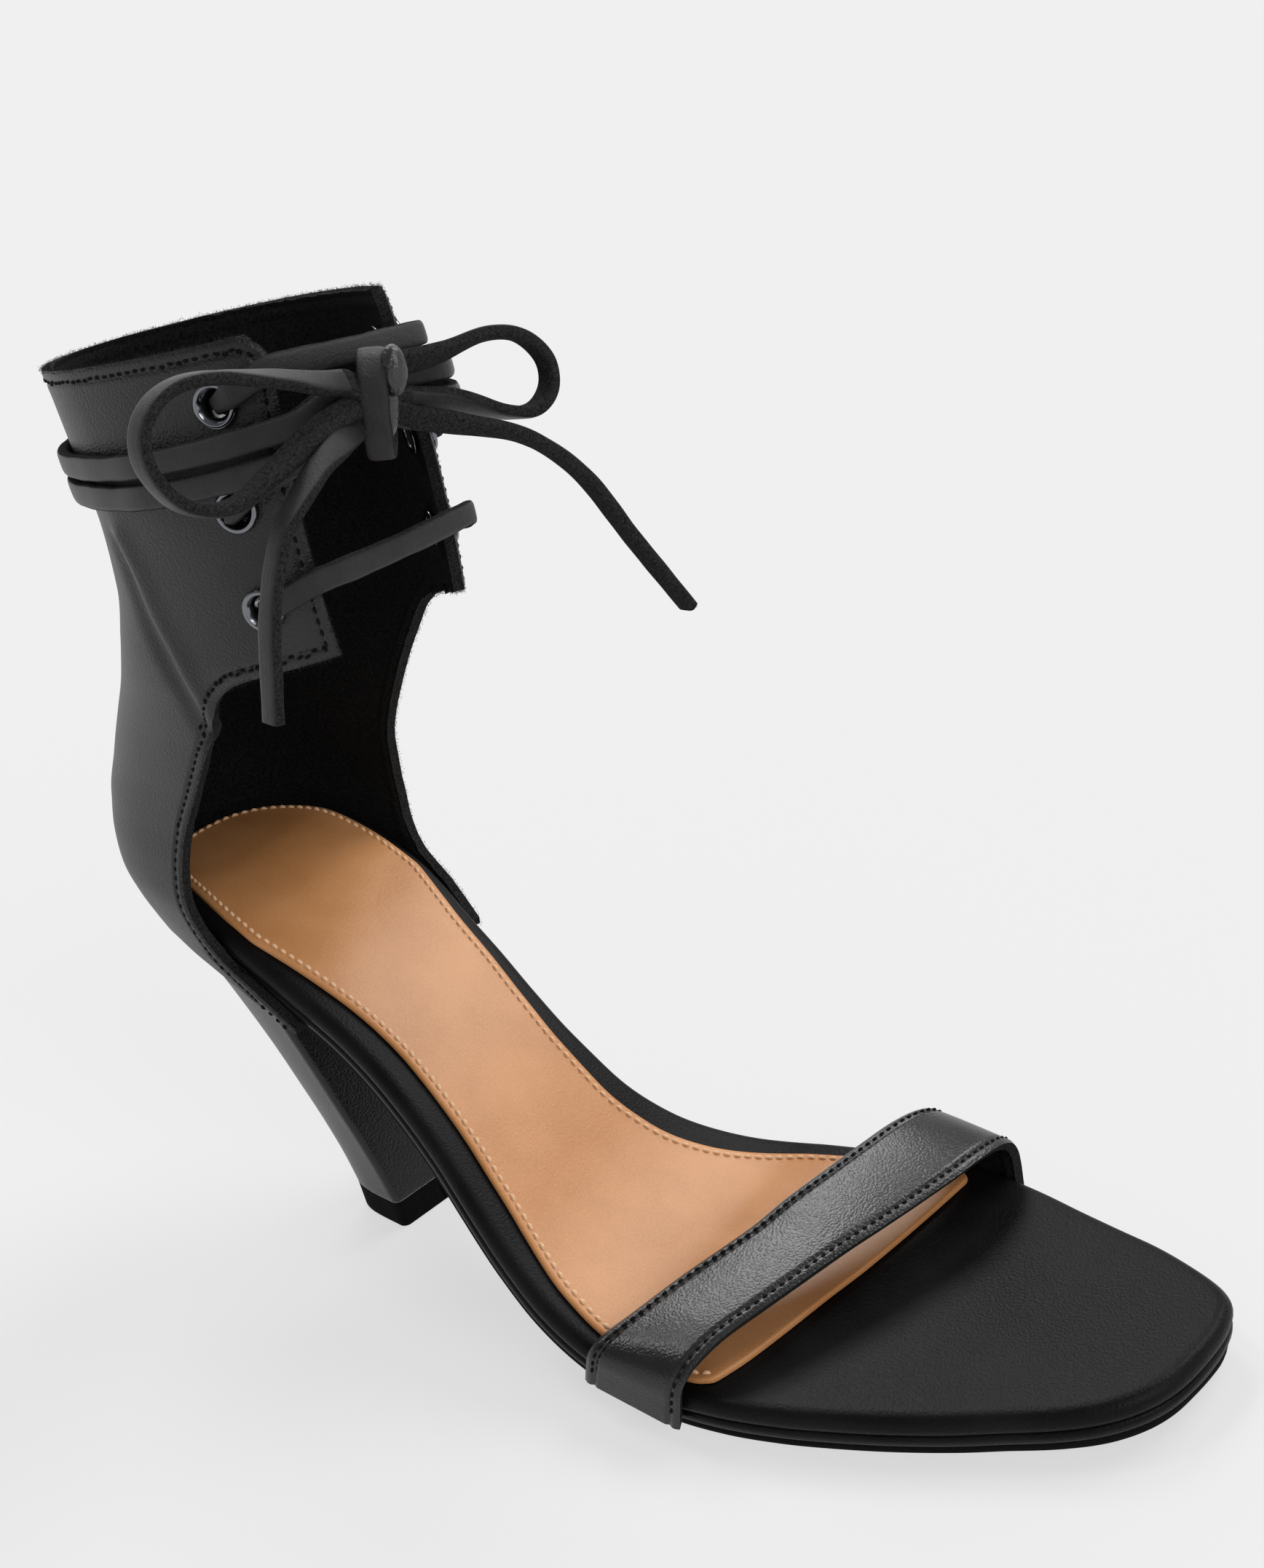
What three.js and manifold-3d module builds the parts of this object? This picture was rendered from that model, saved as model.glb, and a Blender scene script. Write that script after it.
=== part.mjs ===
// Lace-up heeled sandal for the right foot, standing empty on its heel tip and forefoot.
//
// Frame, in millimetres: the origin is on the floor under the middle of the heel tip, +X runs to
// the toe, +Y to the inner side of the foot and +Z up. The heel, the counter and the ankle cuff
// are turned a little outwards in plan, as on a real last, and have a frame of their own:
// u runs forwards, v to the inner side.
import * as THREE from 'three';
import { mergeVertices } from 'three/addons/utils/BufferGeometryUtils.js';
import Module from 'manifold-3d';

const wasm = await Module();
wasm.setup();

// Driving sizes of the last and the sole
const toeReach = 178.8;        // heel tip to toe
const heelReach = 46;          // heel tip to the back of the footbed
const ballWidth = 79;          // breadth of the footbed over the ball
const seatHeight = 80;         // footbed top over the floor at the heel
const seatHalf = 24.4;         // half breadth of the heel seat
const heelTurn = 10.5;         // degrees that the heel is turned in plan
const heelShift = 1.5;         // heel's middle line beside the origin, to the inner side
const footbedThick = 6.9;      // padded board with its leather cover
const seatExtra = 3.4;         // wedge under the back of the heel seat
const outsoleThick = 2.2;
const outsoleInset = 2.0;
const outsoleStart = 8.6;      // outsole's back edge before the heel's front face
const sockThick = 1.0;
const seam = 0.3;              // gap between pieces that are cemented or sewn together

// Driving sizes of the heel
const tipHeight = 6.4;         // top lift
const tipLength = 19.2;
const tipHalf = 11.6;
const breastTop = -1;          // front face of the heel where it meets the sole
const heelTopHalf = 22.8;

// Driving sizes of the upper
const cuffTop = 193.2;         // front corner of the cuff over the floor
const cuffDip = 7.4;           // how much lower the cuff is at the back
const throatHeight = 137;      // lower edge of the lacing flaps
const counterTop = 98;         // where the counter's bulge ends
const cuffDepth = 98;          // heel to the cuff's front, along u
const cuffHalf = 28;           // half breadth of the cuff
const wall = 2.0;              // leather and lining
const eyeletHole = 2.1;
const eyeletBarrel = 2.6;
const eyeletFlange = 3.9;
const holeClearance = 0.3;
const flangeTop = 1.5;         // top of an eyelet's rolled flange over the leather

// Driving sizes of the toe strap and the lace
const strapThick = 1.9;
const strapRise = 14;          // strap over the footbed at its crown
const laceWidth = 4.4;
const laceThick = 2.3;
const cordAcross = 2.9;        // loops and ends
const barBow = 1.2;            // how far a crossing bows forwards

const length = toeReach + heelReach;

// Sole outline: at = share of the length from the heel's back, outer and inner = edges as shares of
// the ball's breadth to either side, rise = footbed top as a share of the seat's height.
const soleRows = [
  { at: 0.00, outer: 0.160, inner: 0.160, rise: 1.000 },
  { at: 0.10, outer: 0.262, inner: 0.350, rise: 0.984 },
  { at: 0.16, outer: 0.284, inner: 0.342, rise: 0.935 },
  { at: 0.205, outer: 0.292, inner: 0.328, rise: 0.881 },
  { at: 0.245, outer: 0.306, inner: 0.302, rise: 0.826 },
  { at: 0.285, outer: 0.314, inner: 0.260, rise: 0.760 },
  { at: 0.325, outer: 0.330, inner: 0.228, rise: 0.685 },
  { at: 0.365, outer: 0.356, inner: 0.196, rise: 0.600 },
  { at: 0.405, outer: 0.390, inner: 0.176, rise: 0.505 },
  { at: 0.445, outer: 0.434, inner: 0.172, rise: 0.404 },
  { at: 0.485, outer: 0.475, inner: 0.204, rise: 0.305 },
  { at: 0.520, outer: 0.503, inner: 0.262, rise: 0.232 },
  { at: 0.555, outer: 0.517, inner: 0.334, rise: 0.175 },
  { at: 0.590, outer: 0.524, inner: 0.403, rise: 0.138 },
  { at: 0.630, outer: 0.525, inner: 0.444, rise: 0.121 },
  { at: 0.675, outer: 0.516, inner: 0.466, rise: 0.1175 },
  { at: 0.720, outer: 0.494, inner: 0.466, rise: 0.1175 },
  { at: 0.760, outer: 0.464, inner: 0.452, rise: 0.1175 },
  { at: 0.800, outer: 0.428, inner: 0.424, rise: 0.1175 },
  { at: 0.840, outer: 0.385, inner: 0.386, rise: 0.1175 },
  { at: 0.880, outer: 0.334, inner: 0.347, rise: 0.120 },
  { at: 0.920, outer: 0.286, inner: 0.306, rise: 0.126 },
  { at: 0.950, outer: 0.236, inner: 0.262, rise: 0.133 },
  { at: 0.970, outer: 0.182, inner: 0.228, rise: 0.138 },
  { at: 0.985, outer: 0.112, inner: 0.196, rise: 0.142 },
  { at: 0.995, outer: 0.010, inner: 0.158, rise: 0.145 },
  { at: 1.00, outer: -0.080, inner: 0.120, rise: 0.146 },
];

// Heel: at = share of the way from the sole down to the top lift. The back is a share of the heel's
// reach behind the origin, the half breadth a share of its top, full = how square the back is.
const heelRows = [
  { at: 0.00, back: 0.975, half: 1.00, full: 2.6 },
  { at: 0.12, back: 0.800, half: 0.935, full: 2.6 },
  { at: 0.26, back: 0.650, half: 0.860, full: 2.6 },
  { at: 0.42, back: 0.515, half: 0.775, full: 2.6 },
  { at: 0.58, back: 0.405, half: 0.695, full: 2.7 },
  { at: 0.74, back: 0.315, half: 0.615, full: 2.8 },
  { at: 0.88, back: 0.255, half: 0.555, full: 2.9 },
  { at: 1.00, back: 0.222, half: 0.515, full: 3.0 },
];

// Upper: high = share of the cuff's height, back and front = shares of the cuff's depth behind and
// before the origin, half = share of its half breadth, full = how square the back is.
const upperRows = [
  { high: 0.342, back: 0.478, front: 0.51, half: 0.93, full: 2.6 },
  { high: 0.362, back: 0.495, front: 0.51, half: 0.96, full: 2.6 },
  { high: 0.392, back: 0.513, front: 0.50, half: 1.00, full: 2.6 },
  { high: 0.428, back: 0.526, front: 0.49, half: 1.03, full: 2.6 },
  { high: 0.468, back: 0.533, front: 0.485, half: 1.01, full: 2.55 },
  { high: 0.511, back: 0.523, front: 0.485, half: 0.965, full: 2.5 },
  { high: 0.560, back: 0.480, front: 0.50, half: 0.93, full: 2.35 },
  { high: 0.608, back: 0.425, front: 0.52, half: 0.92, full: 2.2 },
  { high: 0.645, back: 0.375, front: 0.535, half: 0.935, full: 2.05 },
  { high: 0.684, back: 0.322, front: 0.55, half: 0.97, full: 1.95 },
  { high: 0.709, back: 0.293, front: 0.555, half: 0.985, full: 1.9 },
  { high: 0.770, back: 0.250, front: 0.557, half: 0.99, full: 1.8 },
  { high: 0.840, back: 0.243, front: 0.556, half: 0.99, full: 1.75 },
  { high: 0.910, back: 0.270, front: 0.552, half: 0.965, full: 1.8 },
  { high: 0.965, back: 0.300, front: 0.546, half: 0.945, full: 1.8 },
  { high: 1.000, back: 0.315, front: 0.540, half: 0.935, full: 1.85 },
];

// Open front below the flaps, seen from the side: in = share of the cuff's depth before the origin,
// high = share of its height
const openRows = [
  { in: 0.130, high: 0.300 },
  { in: 0.030, high: 0.342 },
  { in: -0.035, high: 0.364 },
  { in: -0.070, high: 0.395 },
  { in: -0.078, high: 0.430 },
  { in: -0.064, high: 0.468 },
  { in: -0.030, high: 0.511 },
  { in: 0.040, high: 0.560 },
  { in: 0.115, high: 0.608 },
  { in: 0.180, high: 0.647 },
  { in: 0.222, high: 0.671 },
  { in: 0.285, high: 0.688 },
  { in: 0.390, high: 0.700 },
];
const flapCorner = 0.709;      // lower corner of a flap, as a share of the cuff's height
const flapEdge = { outer: 0.484, inner: 0.446 };   // front edge, as a share of its depth
const flapRound = 6;           // upper corner's radius

// Eyelets, lowest first: high = share of the cuff's height
const eyeletRows = [
  { name: 'lower', high: 0.763 },
  { name: 'middle', high: 0.856 },
  { name: 'upper', high: 0.948 },
];
const eyeletSetback = 8.6;     // eyelet's centre behind the flap's edge, along u

// Toe strap: side = share of the sole's half breadth with the strap round it, back and front = its
// two edges as shares of the sole's length, riseBack and riseFront = their heights over the
// footbed as shares of the crown's.
const strapRows = [
  { side: -1, back: 0.556, front: 0.644, riseBack: -0.45, riseFront: -0.45 },
  { side: -1, back: 0.561, front: 0.648, riseBack: -0.15, riseFront: -0.15 },
  { side: -0.997, back: 0.566, front: 0.652, riseBack: 0.10, riseFront: 0.14 },
  { side: -0.965, back: 0.570, front: 0.656, riseBack: 0.25, riseFront: 0.33 },
  { side: -0.90, back: 0.575, front: 0.661, riseBack: 0.36, riseFront: 0.49 },
  { side: -0.76, back: 0.585, front: 0.671, riseBack: 0.46, riseFront: 0.61 },
  { side: -0.52, back: 0.602, front: 0.693, riseBack: 0.60, riseFront: 0.72 },
  { side: -0.20, back: 0.631, front: 0.720, riseBack: 0.80, riseFront: 0.82 },
  { side: 0.00, back: 0.646, front: 0.736, riseBack: 0.92, riseFront: 0.85 },
  { side: 0.22, back: 0.661, front: 0.751, riseBack: 1.00, riseFront: 0.87 },
  { side: 0.45, back: 0.675, front: 0.765, riseBack: 1.05, riseFront: 0.89 },
  { side: 0.65, back: 0.686, front: 0.773, riseBack: 1.06, riseFront: 0.87 },
  { side: 0.82, back: 0.694, front: 0.777, riseBack: 0.98, riseFront: 0.78 },
  { side: 0.93, back: 0.698, front: 0.778, riseBack: 0.82, riseFront: 0.62 },
  { side: 0.985, back: 0.700, front: 0.778, riseBack: 0.58, riseFront: 0.40 },
  { side: 1, back: 0.701, front: 0.778, riseBack: 0.25, riseFront: 0.15 },
  { side: 1, back: 0.701, front: 0.778, riseBack: -0.12, riseFront: -0.15 },
  { side: 1, back: 0.701, front: 0.778, riseBack: -0.45, riseFront: -0.45 },
];

// Lace crossings: how much higher than its eyelets a crossing leaves each flap, as a share of the
// cuff's height
const barRows = [
  { name: 'lower', outer: 0.022, inner: 0.018 },
  { name: 'upper', outer: 0.022, inner: 0.006 },
];

// Lace round the back of the ankle: turn = share of the way from the back to the front, less than
// nothing on the outer side, high = share of the cuff's height, off = millimetres off the leather
const wrapRows = {
  upper: [
    { turn: -0.84, high: 0.922, off: 5.2 },
    { turn: -0.70, high: 0.915, off: 4.8 },
    { turn: -0.62, high: 0.912, off: 4.5 },
    { turn: -0.55, high: 0.910, off: 2.6 },
    { turn: -0.45, high: 0.909, off: 0.9 },
    { turn: -0.25, high: 0.908, off: 0.6 },
    { turn: 0.00, high: 0.908, off: 0.6 },
    { turn: 0.25, high: 0.912, off: 0.6 },
    { turn: 0.45, high: 0.914, off: 0.9 },
    { turn: 0.55, high: 0.915, off: 2.6 },
    { turn: 0.62, high: 0.916, off: 4.5 },
    { turn: 0.70, high: 0.918, off: 4.8 },
    { turn: 0.84, high: 0.925, off: 5.4 },
  ],
  lower: [
    { turn: -0.84, high: 0.894, off: 5.2 },
    { turn: -0.70, high: 0.887, off: 4.8 },
    { turn: -0.62, high: 0.884, off: 4.5 },
    { turn: -0.55, high: 0.882, off: 2.6 },
    { turn: -0.45, high: 0.881, off: 0.9 },
    { turn: -0.25, high: 0.880, off: 0.6 },
    { turn: 0.00, high: 0.880, off: 0.6 },
    { turn: 0.25, high: 0.884, off: 0.6 },
    { turn: 0.45, high: 0.886, off: 0.9 },
    { turn: 0.55, high: 0.887, off: 2.6 },
    { turn: 0.62, high: 0.888, off: 4.5 },
    { turn: 0.70, high: 0.890, off: 4.8 },
    { turn: 0.84, high: 0.897, off: 5.4 },
  ],
};

// Knot, loops and ends, in the heel frame: u, v and height, chosen by hand
const knotPlace = [57, -1.5, 177.5];
const knotHalf = [5.0, 5.6, 9.4];
const cordRoutes = {
  lace_loop_outer: [
    [57.5, -7.4, 182.7], [59, -13.3, 184.3], [60.5, -21.8, 187.4], [62, -35.2, 191.3], [61.8, -42.5, 191],
    [61.5, -47.2, 187.2], [61, -47.8, 181.2], [60.5, -43.5, 174.3], [60, -35, 171.2], [59, -24.4, 173.9],
    [58, -15, 177], [57.5, -7.4, 178.3],
  ],
  lace_loop_inner: [
    [57.5, 4.6, 182.5], [58, 13, 182], [58, 23, 182.4], [58, 30.5, 180.2], [58, 35.1, 175],
    [58, 34.8, 169.9], [58, 30.4, 167.2], [58, 23.5, 168.7], [58, 14, 173.6], [57.5, 4.6, 176.6],
  ],
  lace_end_outer: [
    [57.5, -7.4, 174.9], [60.6, -13.4, 174.2], [62, -19.2, 172.3], [62.8, -24, 169.4], [63, -29.2, 165.4],
    [63, -33, 159.3], [62.8, -36, 151.9], [62.5, -38, 144], [62, -39.5, 137.1],
  ],
  lace_end_inner: [
    [57.5, 4.6, 173.4], [59.5, 12.9, 169.8], [61, 24.9, 163.9], [61, 35.7, 153.7], [60, 45.7, 138.1],
    [60, 56.3, 120.9],
  ],
};

const leather = () => new THREE.MeshStandardMaterial({ color: 0x1b1b1c, roughness: 0.5 });
const tanLeather = () => new THREE.MeshStandardMaterial({ color: 0xc58d5c, roughness: 0.55 });
const rubber = () => new THREE.MeshStandardMaterial({ color: 0x141414, roughness: 0.7 });
const suede = () => new THREE.MeshStandardMaterial({ color: 0x1d1c1c, roughness: 0.95 });
const metal = () => new THREE.MeshStandardMaterial({ color: 0x6f7176, roughness: 0.3, metalness: 1 });

// A smooth curve through one column of a table, with slopes limited so that it never overshoots
function follow(rows, key, column) {
  const x = rows.map((row) => row[key]);
  const y = rows.map((row) => row[column]);
  const step = x.slice(1).map((value, i) => (y[i + 1] - y[i]) / (value - x[i]));
  const slope = x.map((value, i) => {
    if (i === 0) return step[0];
    if (i === x.length - 1) return step[i - 1];
    if (step[i - 1] * step[i] <= 0) return 0;
    return 2 * step[i - 1] * step[i] / (step[i - 1] + step[i]);
  });
  return (at) => {
    const p = Math.min(Math.max(at, x[0]), x[x.length - 1]);
    let i = 0;
    while (i < x.length - 2 && p > x[i + 1]) i += 1;
    const h = x[i + 1] - x[i];
    const t = (p - x[i]) / h;
    const a = y[i] * (1 + 2 * t) * (1 - t) ** 2 + slope[i] * h * t * (1 - t) ** 2;
    const b = y[i + 1] * t * t * (3 - 2 * t) - slope[i + 1] * h * t * t * (1 - t);
    return a + b;
  };
}

// Collects the corners and faces of one closed solid; corners in one place are one corner
function shell() {
  const corners = [];
  const faces = [];
  const seen = new Map();
  const corner = (point) => {
    const key = point.map((value) => Math.round(value * 2000)).join();
    if (!seen.has(key)) {
      seen.set(key, corners.length);
      corners.push(point);
    }
    return seen.get(key);
  };
  const triangle = (a, b, c) => {
    const [i, j, k] = [corner(a), corner(b), corner(c)];
    if (i !== j && j !== k && k !== i) faces.push(i, j, k);
  };
  const quad = (a, b, c, d) => {
    triangle(a, b, c);
    triangle(a, c, d);
  };
  const geometry = () => {
    const result = new THREE.BufferGeometry();
    result.setAttribute('position', new THREE.Float32BufferAttribute(corners.flat(), 3));
    result.setIndex(faces);
    return result;
  };
  return { triangle, quad, geometry };
}

function piece(name, geometry, material) {
  geometry.computeVertexNormals();
  const mesh = new THREE.Mesh(geometry, material);
  mesh.name = name;
  return mesh;
}

function toManifold(geometry) {
  const bare = geometry.clone();
  bare.deleteAttribute('normal');
  bare.deleteAttribute('uv');
  const merged = mergeVertices(bare, 1e-4);
  return new wasm.Manifold(new wasm.Mesh({
    numProp: 3,
    vertProperties: new Float32Array(merged.attributes.position.array),
    triVerts: new Uint32Array(merged.index.array),
  }));
}

function fromManifold(solid) {
  const mesh = solid.getMesh();
  const result = new THREE.BufferGeometry();
  result.setAttribute('position', new THREE.Float32BufferAttribute(mesh.vertProperties, 3));
  result.setIndex(Array.from(mesh.triVerts));
  return result;
}

// Heel frame to plan
const turn = THREE.MathUtils.degToRad(heelTurn);
function fromHeel(u, v) {
  return [
    u * Math.cos(turn) + v * Math.sin(turn),
    heelShift - u * Math.sin(turn) + v * Math.cos(turn),
  ];
}
function alongHeel(x, y) {
  return x * Math.cos(turn) - (y - heelShift) * Math.sin(turn);
}

// Footbed's top, its slope and what lies under it
const riseAt = follow(soleRows, 'at', 'rise');
const outerAt = follow(soleRows, 'at', 'outer');
const innerAt = follow(soleRows, 'at', 'inner');
const shareOf = (x) => (x + heelReach) / length;
const topAt = (x) => seatHeight * riseAt(shareOf(x));
function leanAt(x) {
  const slope = (topAt(x + 0.5) - topAt(x - 0.5));
  return [-slope / Math.hypot(slope, 1), 1 / Math.hypot(slope, 1)];
}
function onSole(x, y, drop) {
  const [nx, nz] = leanAt(x);
  return [x - nx * drop, y, topAt(x) - nz * drop];
}
const seatShare = (x) => Math.min(Math.max(-x / heelReach, 0), 1);
const bedThick = (x) => footbedThick + seatExtra * seatShare(x);

// Height of a layer at a given depth under the footbed's top, straight below x
function heightUnder(x, drop) {
  let guess = x;
  for (let i = 0; i < 12; i += 1) guess += x - onSole(guess, 0, drop)[0];
  return onSole(guess, 0, drop)[2];
}

// Superellipse round the back of the heel: 0 at the back, 1 at the side
function roundBack(back, half, full, share) {
  const angle = share * Math.PI / 2;
  return [-back * Math.cos(angle) ** (2 / full), half * Math.sin(angle) ** (2 / full)];
}

// Outline of the sole as pairs of outer and inner edge points, from the heel's back to the toe
function solePairs() {
  const pairs = [];
  const backSteps = 9;
  for (let i = 0; i <= backSteps; i += 1) {
    const [u, v] = roundBack(heelReach, seatHalf, 2.5, i / backSteps);
    pairs.push([fromHeel(u, -v), fromHeel(u, v)]);
  }
  const stations = [0.236, 0.262, 0.29, 0.32, 0.35, 0.38, 0.405, 0.43, 0.45, 0.47, 0.49, 0.51, 0.53, 0.55,
    0.572, 0.597, 0.625, 0.66, 0.70, 0.74, 0.78, 0.82, 0.86, 0.895, 0.925, 0.947, 0.963, 0.976,
    0.986, 0.994, 1];
  for (const at of stations) {
    const x = at * length - heelReach;
    pairs.push([[x, -outerAt(at) * ballWidth], [x, innerAt(at) * ballWidth]]);
  }
  return pairs;
}

// Moves each point of a closed loop inwards
function inwards(loop, distance) {
  return loop.map((point, i) => {
    const before = loop[(i + loop.length - 1) % loop.length];
    const after = loop[(i + 1) % loop.length];
    const dx = after[0] - before[0];
    const dy = after[1] - before[1];
    const size = Math.hypot(dx, dy);
    return [point[0] - dy / size * distance, point[1] + dx / size * distance];
  });
}

// A layer of the sole: its outline as pairs, and its edge profile as rows of inset and drop
function layer(pairs, profile) {
  const outer = pairs.map((pair) => pair[0]);
  const inner = pairs.map((pair) => pair[1]);
  const closedBack = Math.hypot(outer[0][0] - inner[0][0], outer[0][1] - inner[0][1]) < 1e-6;
  const loop = [...outer, ...(closedBack ? inner.slice(1) : inner).reverse()];
  const partner = (i) => (closedBack && i === 0 ? 0 : loop.length - (closedBack ? i : i + 1));
  const rings = profile.map((row) => inwards(loop, row.inset).map((point) => {
    const drop = typeof row.drop === 'function' ? row.drop(point[0]) : row.drop;
    return { plan: point, drop, place: onSole(point[0], point[1], drop) };
  }));
  const across = 3;
  const strip = (ring, i) => {
    const a = ring[i];
    const b = ring[partner(i)];
    return Array.from({ length: across + 1 }, (unused, k) => {
      const t = k / across;
      if (k === 0) return a.place;
      if (k === across) return b.place;
      const x = a.plan[0] + (b.plan[0] - a.plan[0]) * t;
      const y = a.plan[1] + (b.plan[1] - a.plan[1]) * t;
      return onSole(x, y, a.drop + (b.drop - a.drop) * t);
    });
  };
  const solid = shell();
  const front = outer.length - 1;
  for (let r = 0; r < rings.length - 1; r += 1) {
    for (let i = 0; i < loop.length; i += 1) {
      const j = (i + 1) % loop.length;
      if (i === front || (j === 0 && !closedBack)) continue;
      solid.quad(rings[r][i].place, rings[r + 1][i].place, rings[r + 1][j].place, rings[r][j].place);
    }
    const [high, low] = [strip(rings[r], front), strip(rings[r + 1], front)];
    for (let k = 0; k < across; k += 1) solid.quad(high[k], low[k], low[k + 1], high[k + 1]);
    if (!closedBack) {
      const [above, below] = [strip(rings[r], 0), strip(rings[r + 1], 0)];
      for (let k = 0; k < across; k += 1) solid.quad(above[k], above[k + 1], below[k + 1], below[k]);
    }
  }
  for (const [ring, up] of [[rings[0], true], [rings[rings.length - 1], false]]) {
    for (let i = 0; i < pairs.length - 1; i += 1) {
      const near = strip(ring, i);
      const far = strip(ring, i + 1);
      for (let k = 0; k < across; k += 1) {
        if (up) solid.quad(near[k], far[k], far[k + 1], near[k + 1]);
        else solid.quad(near[k], near[k + 1], far[k + 1], far[k]);
      }
    }
  }
  return solid.geometry();
}

function footbed() {
  const under = (share) => (x) => bedThick(x) * share;
  const profile = [
    { inset: 2.4, drop: 0 },
    { inset: 1.0, drop: 0.35 },
    { inset: 0.2, drop: 1.3 },
    { inset: 0, drop: 2.5 },
    { inset: 0.35, drop: 3.7 },
    { inset: 0.95, drop: 4.2 },
    { inset: 0.55, drop: 4.7 },
    { inset: 0.8, drop: under(0.86) },
    { inset: 1.8, drop: under(1) },
  ];
  return piece('footbed', layer(solePairs(), profile), leather());
}

// The footbed with a seam's gap all round, to cut from what is lasted against it
function footbedRoom() {
  const profile = [
    { inset: 2.1, drop: -seam },
    { inset: -seam, drop: 1.0 },
    { inset: -seam, drop: 3.6 },
    { inset: 0.2, drop: 5.0 },
    { inset: 0.4, drop: (x) => bedThick(x) * 0.86 },
    { inset: 1.3, drop: (x) => bedThick(x) + seam },
  ];
  return toManifold(layer(solePairs(), profile));
}

function outsole() {
  const start = breastTop + outsoleStart;
  const half = seatHalf - outsoleInset;
  const [backOuter, backInner] = [fromHeel(start, -half), fromHeel(start, half)];
  const ahead = solePairs().filter((pair) => pair[0][0] > backInner[0] + 1);
  const pairs = [[backOuter, backInner], ...ahead.filter((pair) => pair[1][0] > backInner[0] + 2)];
  const profile = [
    { inset: outsoleInset + 0.3, drop: footbedThick + seam },
    { inset: outsoleInset, drop: footbedThick + seam + 0.3 },
    { inset: outsoleInset + 0.2, drop: footbedThick + seam + outsoleThick - 0.4 },
    { inset: outsoleInset + 0.8, drop: footbedThick + seam + outsoleThick },
  ];
  return piece('outsole', layer(pairs, profile), rubber());
}

// The tan insock stops in a bowed line before the toes
function sock() {
  const margins = [
    { at: 0.00, outer: 3.0, inner: 3.0 },
    { at: 0.20, outer: 4.2, inner: 3.6 },
    { at: 0.35, outer: 6.4, inner: 4.8 },
    { at: 0.45, outer: 6.2, inner: 6.6 },
    { at: 0.52, outer: 4.6, inner: 8.0 },
    { at: 0.60, outer: 3.2, inner: 6.4 },
    { at: 0.75, outer: 3.0, inner: 4.2 },
  ];
  const outerMargin = follow(margins, 'at', 'outer');
  const innerMargin = follow(margins, 'at', 'inner');
  const pairs = [];
  const backSteps = 9;
  for (let i = 0; i <= backSteps; i += 1) {
    const [u, v] = roundBack(heelReach - margins[0].outer, seatHalf - margins[0].outer, 2.4, i / backSteps);
    pairs.push([fromHeel(u, -v), fromHeel(u, v)]);
  }
  const lead = 0.08;
  for (let at = 0.255; at < 0.651; at += 0.022) {
    const ahead = at + lead * Math.min(Math.max((at - 0.3) / 0.35, 0), 1);
    const outer = outerAt(at) * ballWidth - outerMargin(at);
    const inner = innerAt(ahead) * ballWidth - innerMargin(ahead);
    pairs.push([[at * length - heelReach, -outer], [ahead * length - heelReach, inner]]);
  }
  // Front line: share of the length and of the ball's breadth, outer and inner ends of each strip
  const front = [
    { outerAt: 0.664, outer: -0.466, innerAt: 0.741, inner: 0.385 },
    { outerAt: 0.676, outer: -0.380, innerAt: 0.733, inner: 0.262 },
    { outerAt: 0.688, outer: -0.262, innerAt: 0.723, inner: 0.125 },
    { outerAt: 0.699, outer: -0.140, innerAt: 0.712, inner: -0.010 },
  ];
  for (const row of front) {
    pairs.push([
      [row.outerAt * length - heelReach, row.outer * ballWidth],
      [row.innerAt * length - heelReach, row.inner * ballWidth],
    ]);
  }
  const profile = [
    { inset: 0.3, drop: -seam - sockThick },
    { inset: 0, drop: -seam - sockThick + 0.3 },
    { inset: 0, drop: -seam },
  ];
  return piece('sock', layer(pairs, profile), tanLeather());
}

// One ring of the heel, back to breast, as outer and inner points in the heel frame
function heelRing(row, steps) {
  const pairs = [];
  for (let i = 0; i <= steps; i += 1) {
    const middle = row.breast - tipLength * 0.3;
    const [u, v] = roundBack(middle + heelReach * row.back, heelTopHalf * row.half, row.full, i / steps);
    pairs.push([middle + u, v]);
  }
  pairs.push([row.breast, heelTopHalf * row.half]);
  return pairs;
}

// Lofts rings of paired points; each ring gives u, v and the height on the outer and inner side
function pairedLoft(rings) {
  const solid = shell();
  const place = (ring, i, side) => {
    const [u, v, outerZ, innerZ = outerZ] = ring[i];
    return [...fromHeel(u, side * v), side < 0 ? outerZ : innerZ];
  };
  const last = rings[0].length - 1;
  for (let r = 0; r < rings.length - 1; r += 1) {
    const upper = rings[r];
    const lower = rings[r + 1];
    for (let i = 0; i < last; i += 1) {
      solid.quad(place(upper, i, -1), place(lower, i, -1), place(lower, i + 1, -1), place(upper, i + 1, -1));
      solid.quad(place(upper, i, 1), place(upper, i + 1, 1), place(lower, i + 1, 1), place(lower, i, 1));
    }
    solid.quad(place(upper, last, -1), place(lower, last, -1), place(lower, last, 1), place(upper, last, 1));
  }
  const top = rings[0];
  const bottom = rings[rings.length - 1];
  for (let i = 0; i < last; i += 1) {
    solid.quad(place(top, i, -1), place(top, i + 1, -1), place(top, i + 1, 1), place(top, i, 1));
    solid.quad(place(bottom, i, -1), place(bottom, i, 1), place(bottom, i + 1, 1), place(bottom, i + 1, -1));
  }
  return solid.geometry();
}

// The breast runs straight from the sole down to the tip
const heelColumns = ['back', 'half', 'full'];
function heelRowAt(at) {
  const row = Object.fromEntries(heelColumns.map((column) => [column, follow(heelRows, 'at', column)(at)]));
  return { ...row, breast: breastTop + (tipLength / 2 - breastTop) * at };
}

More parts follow.
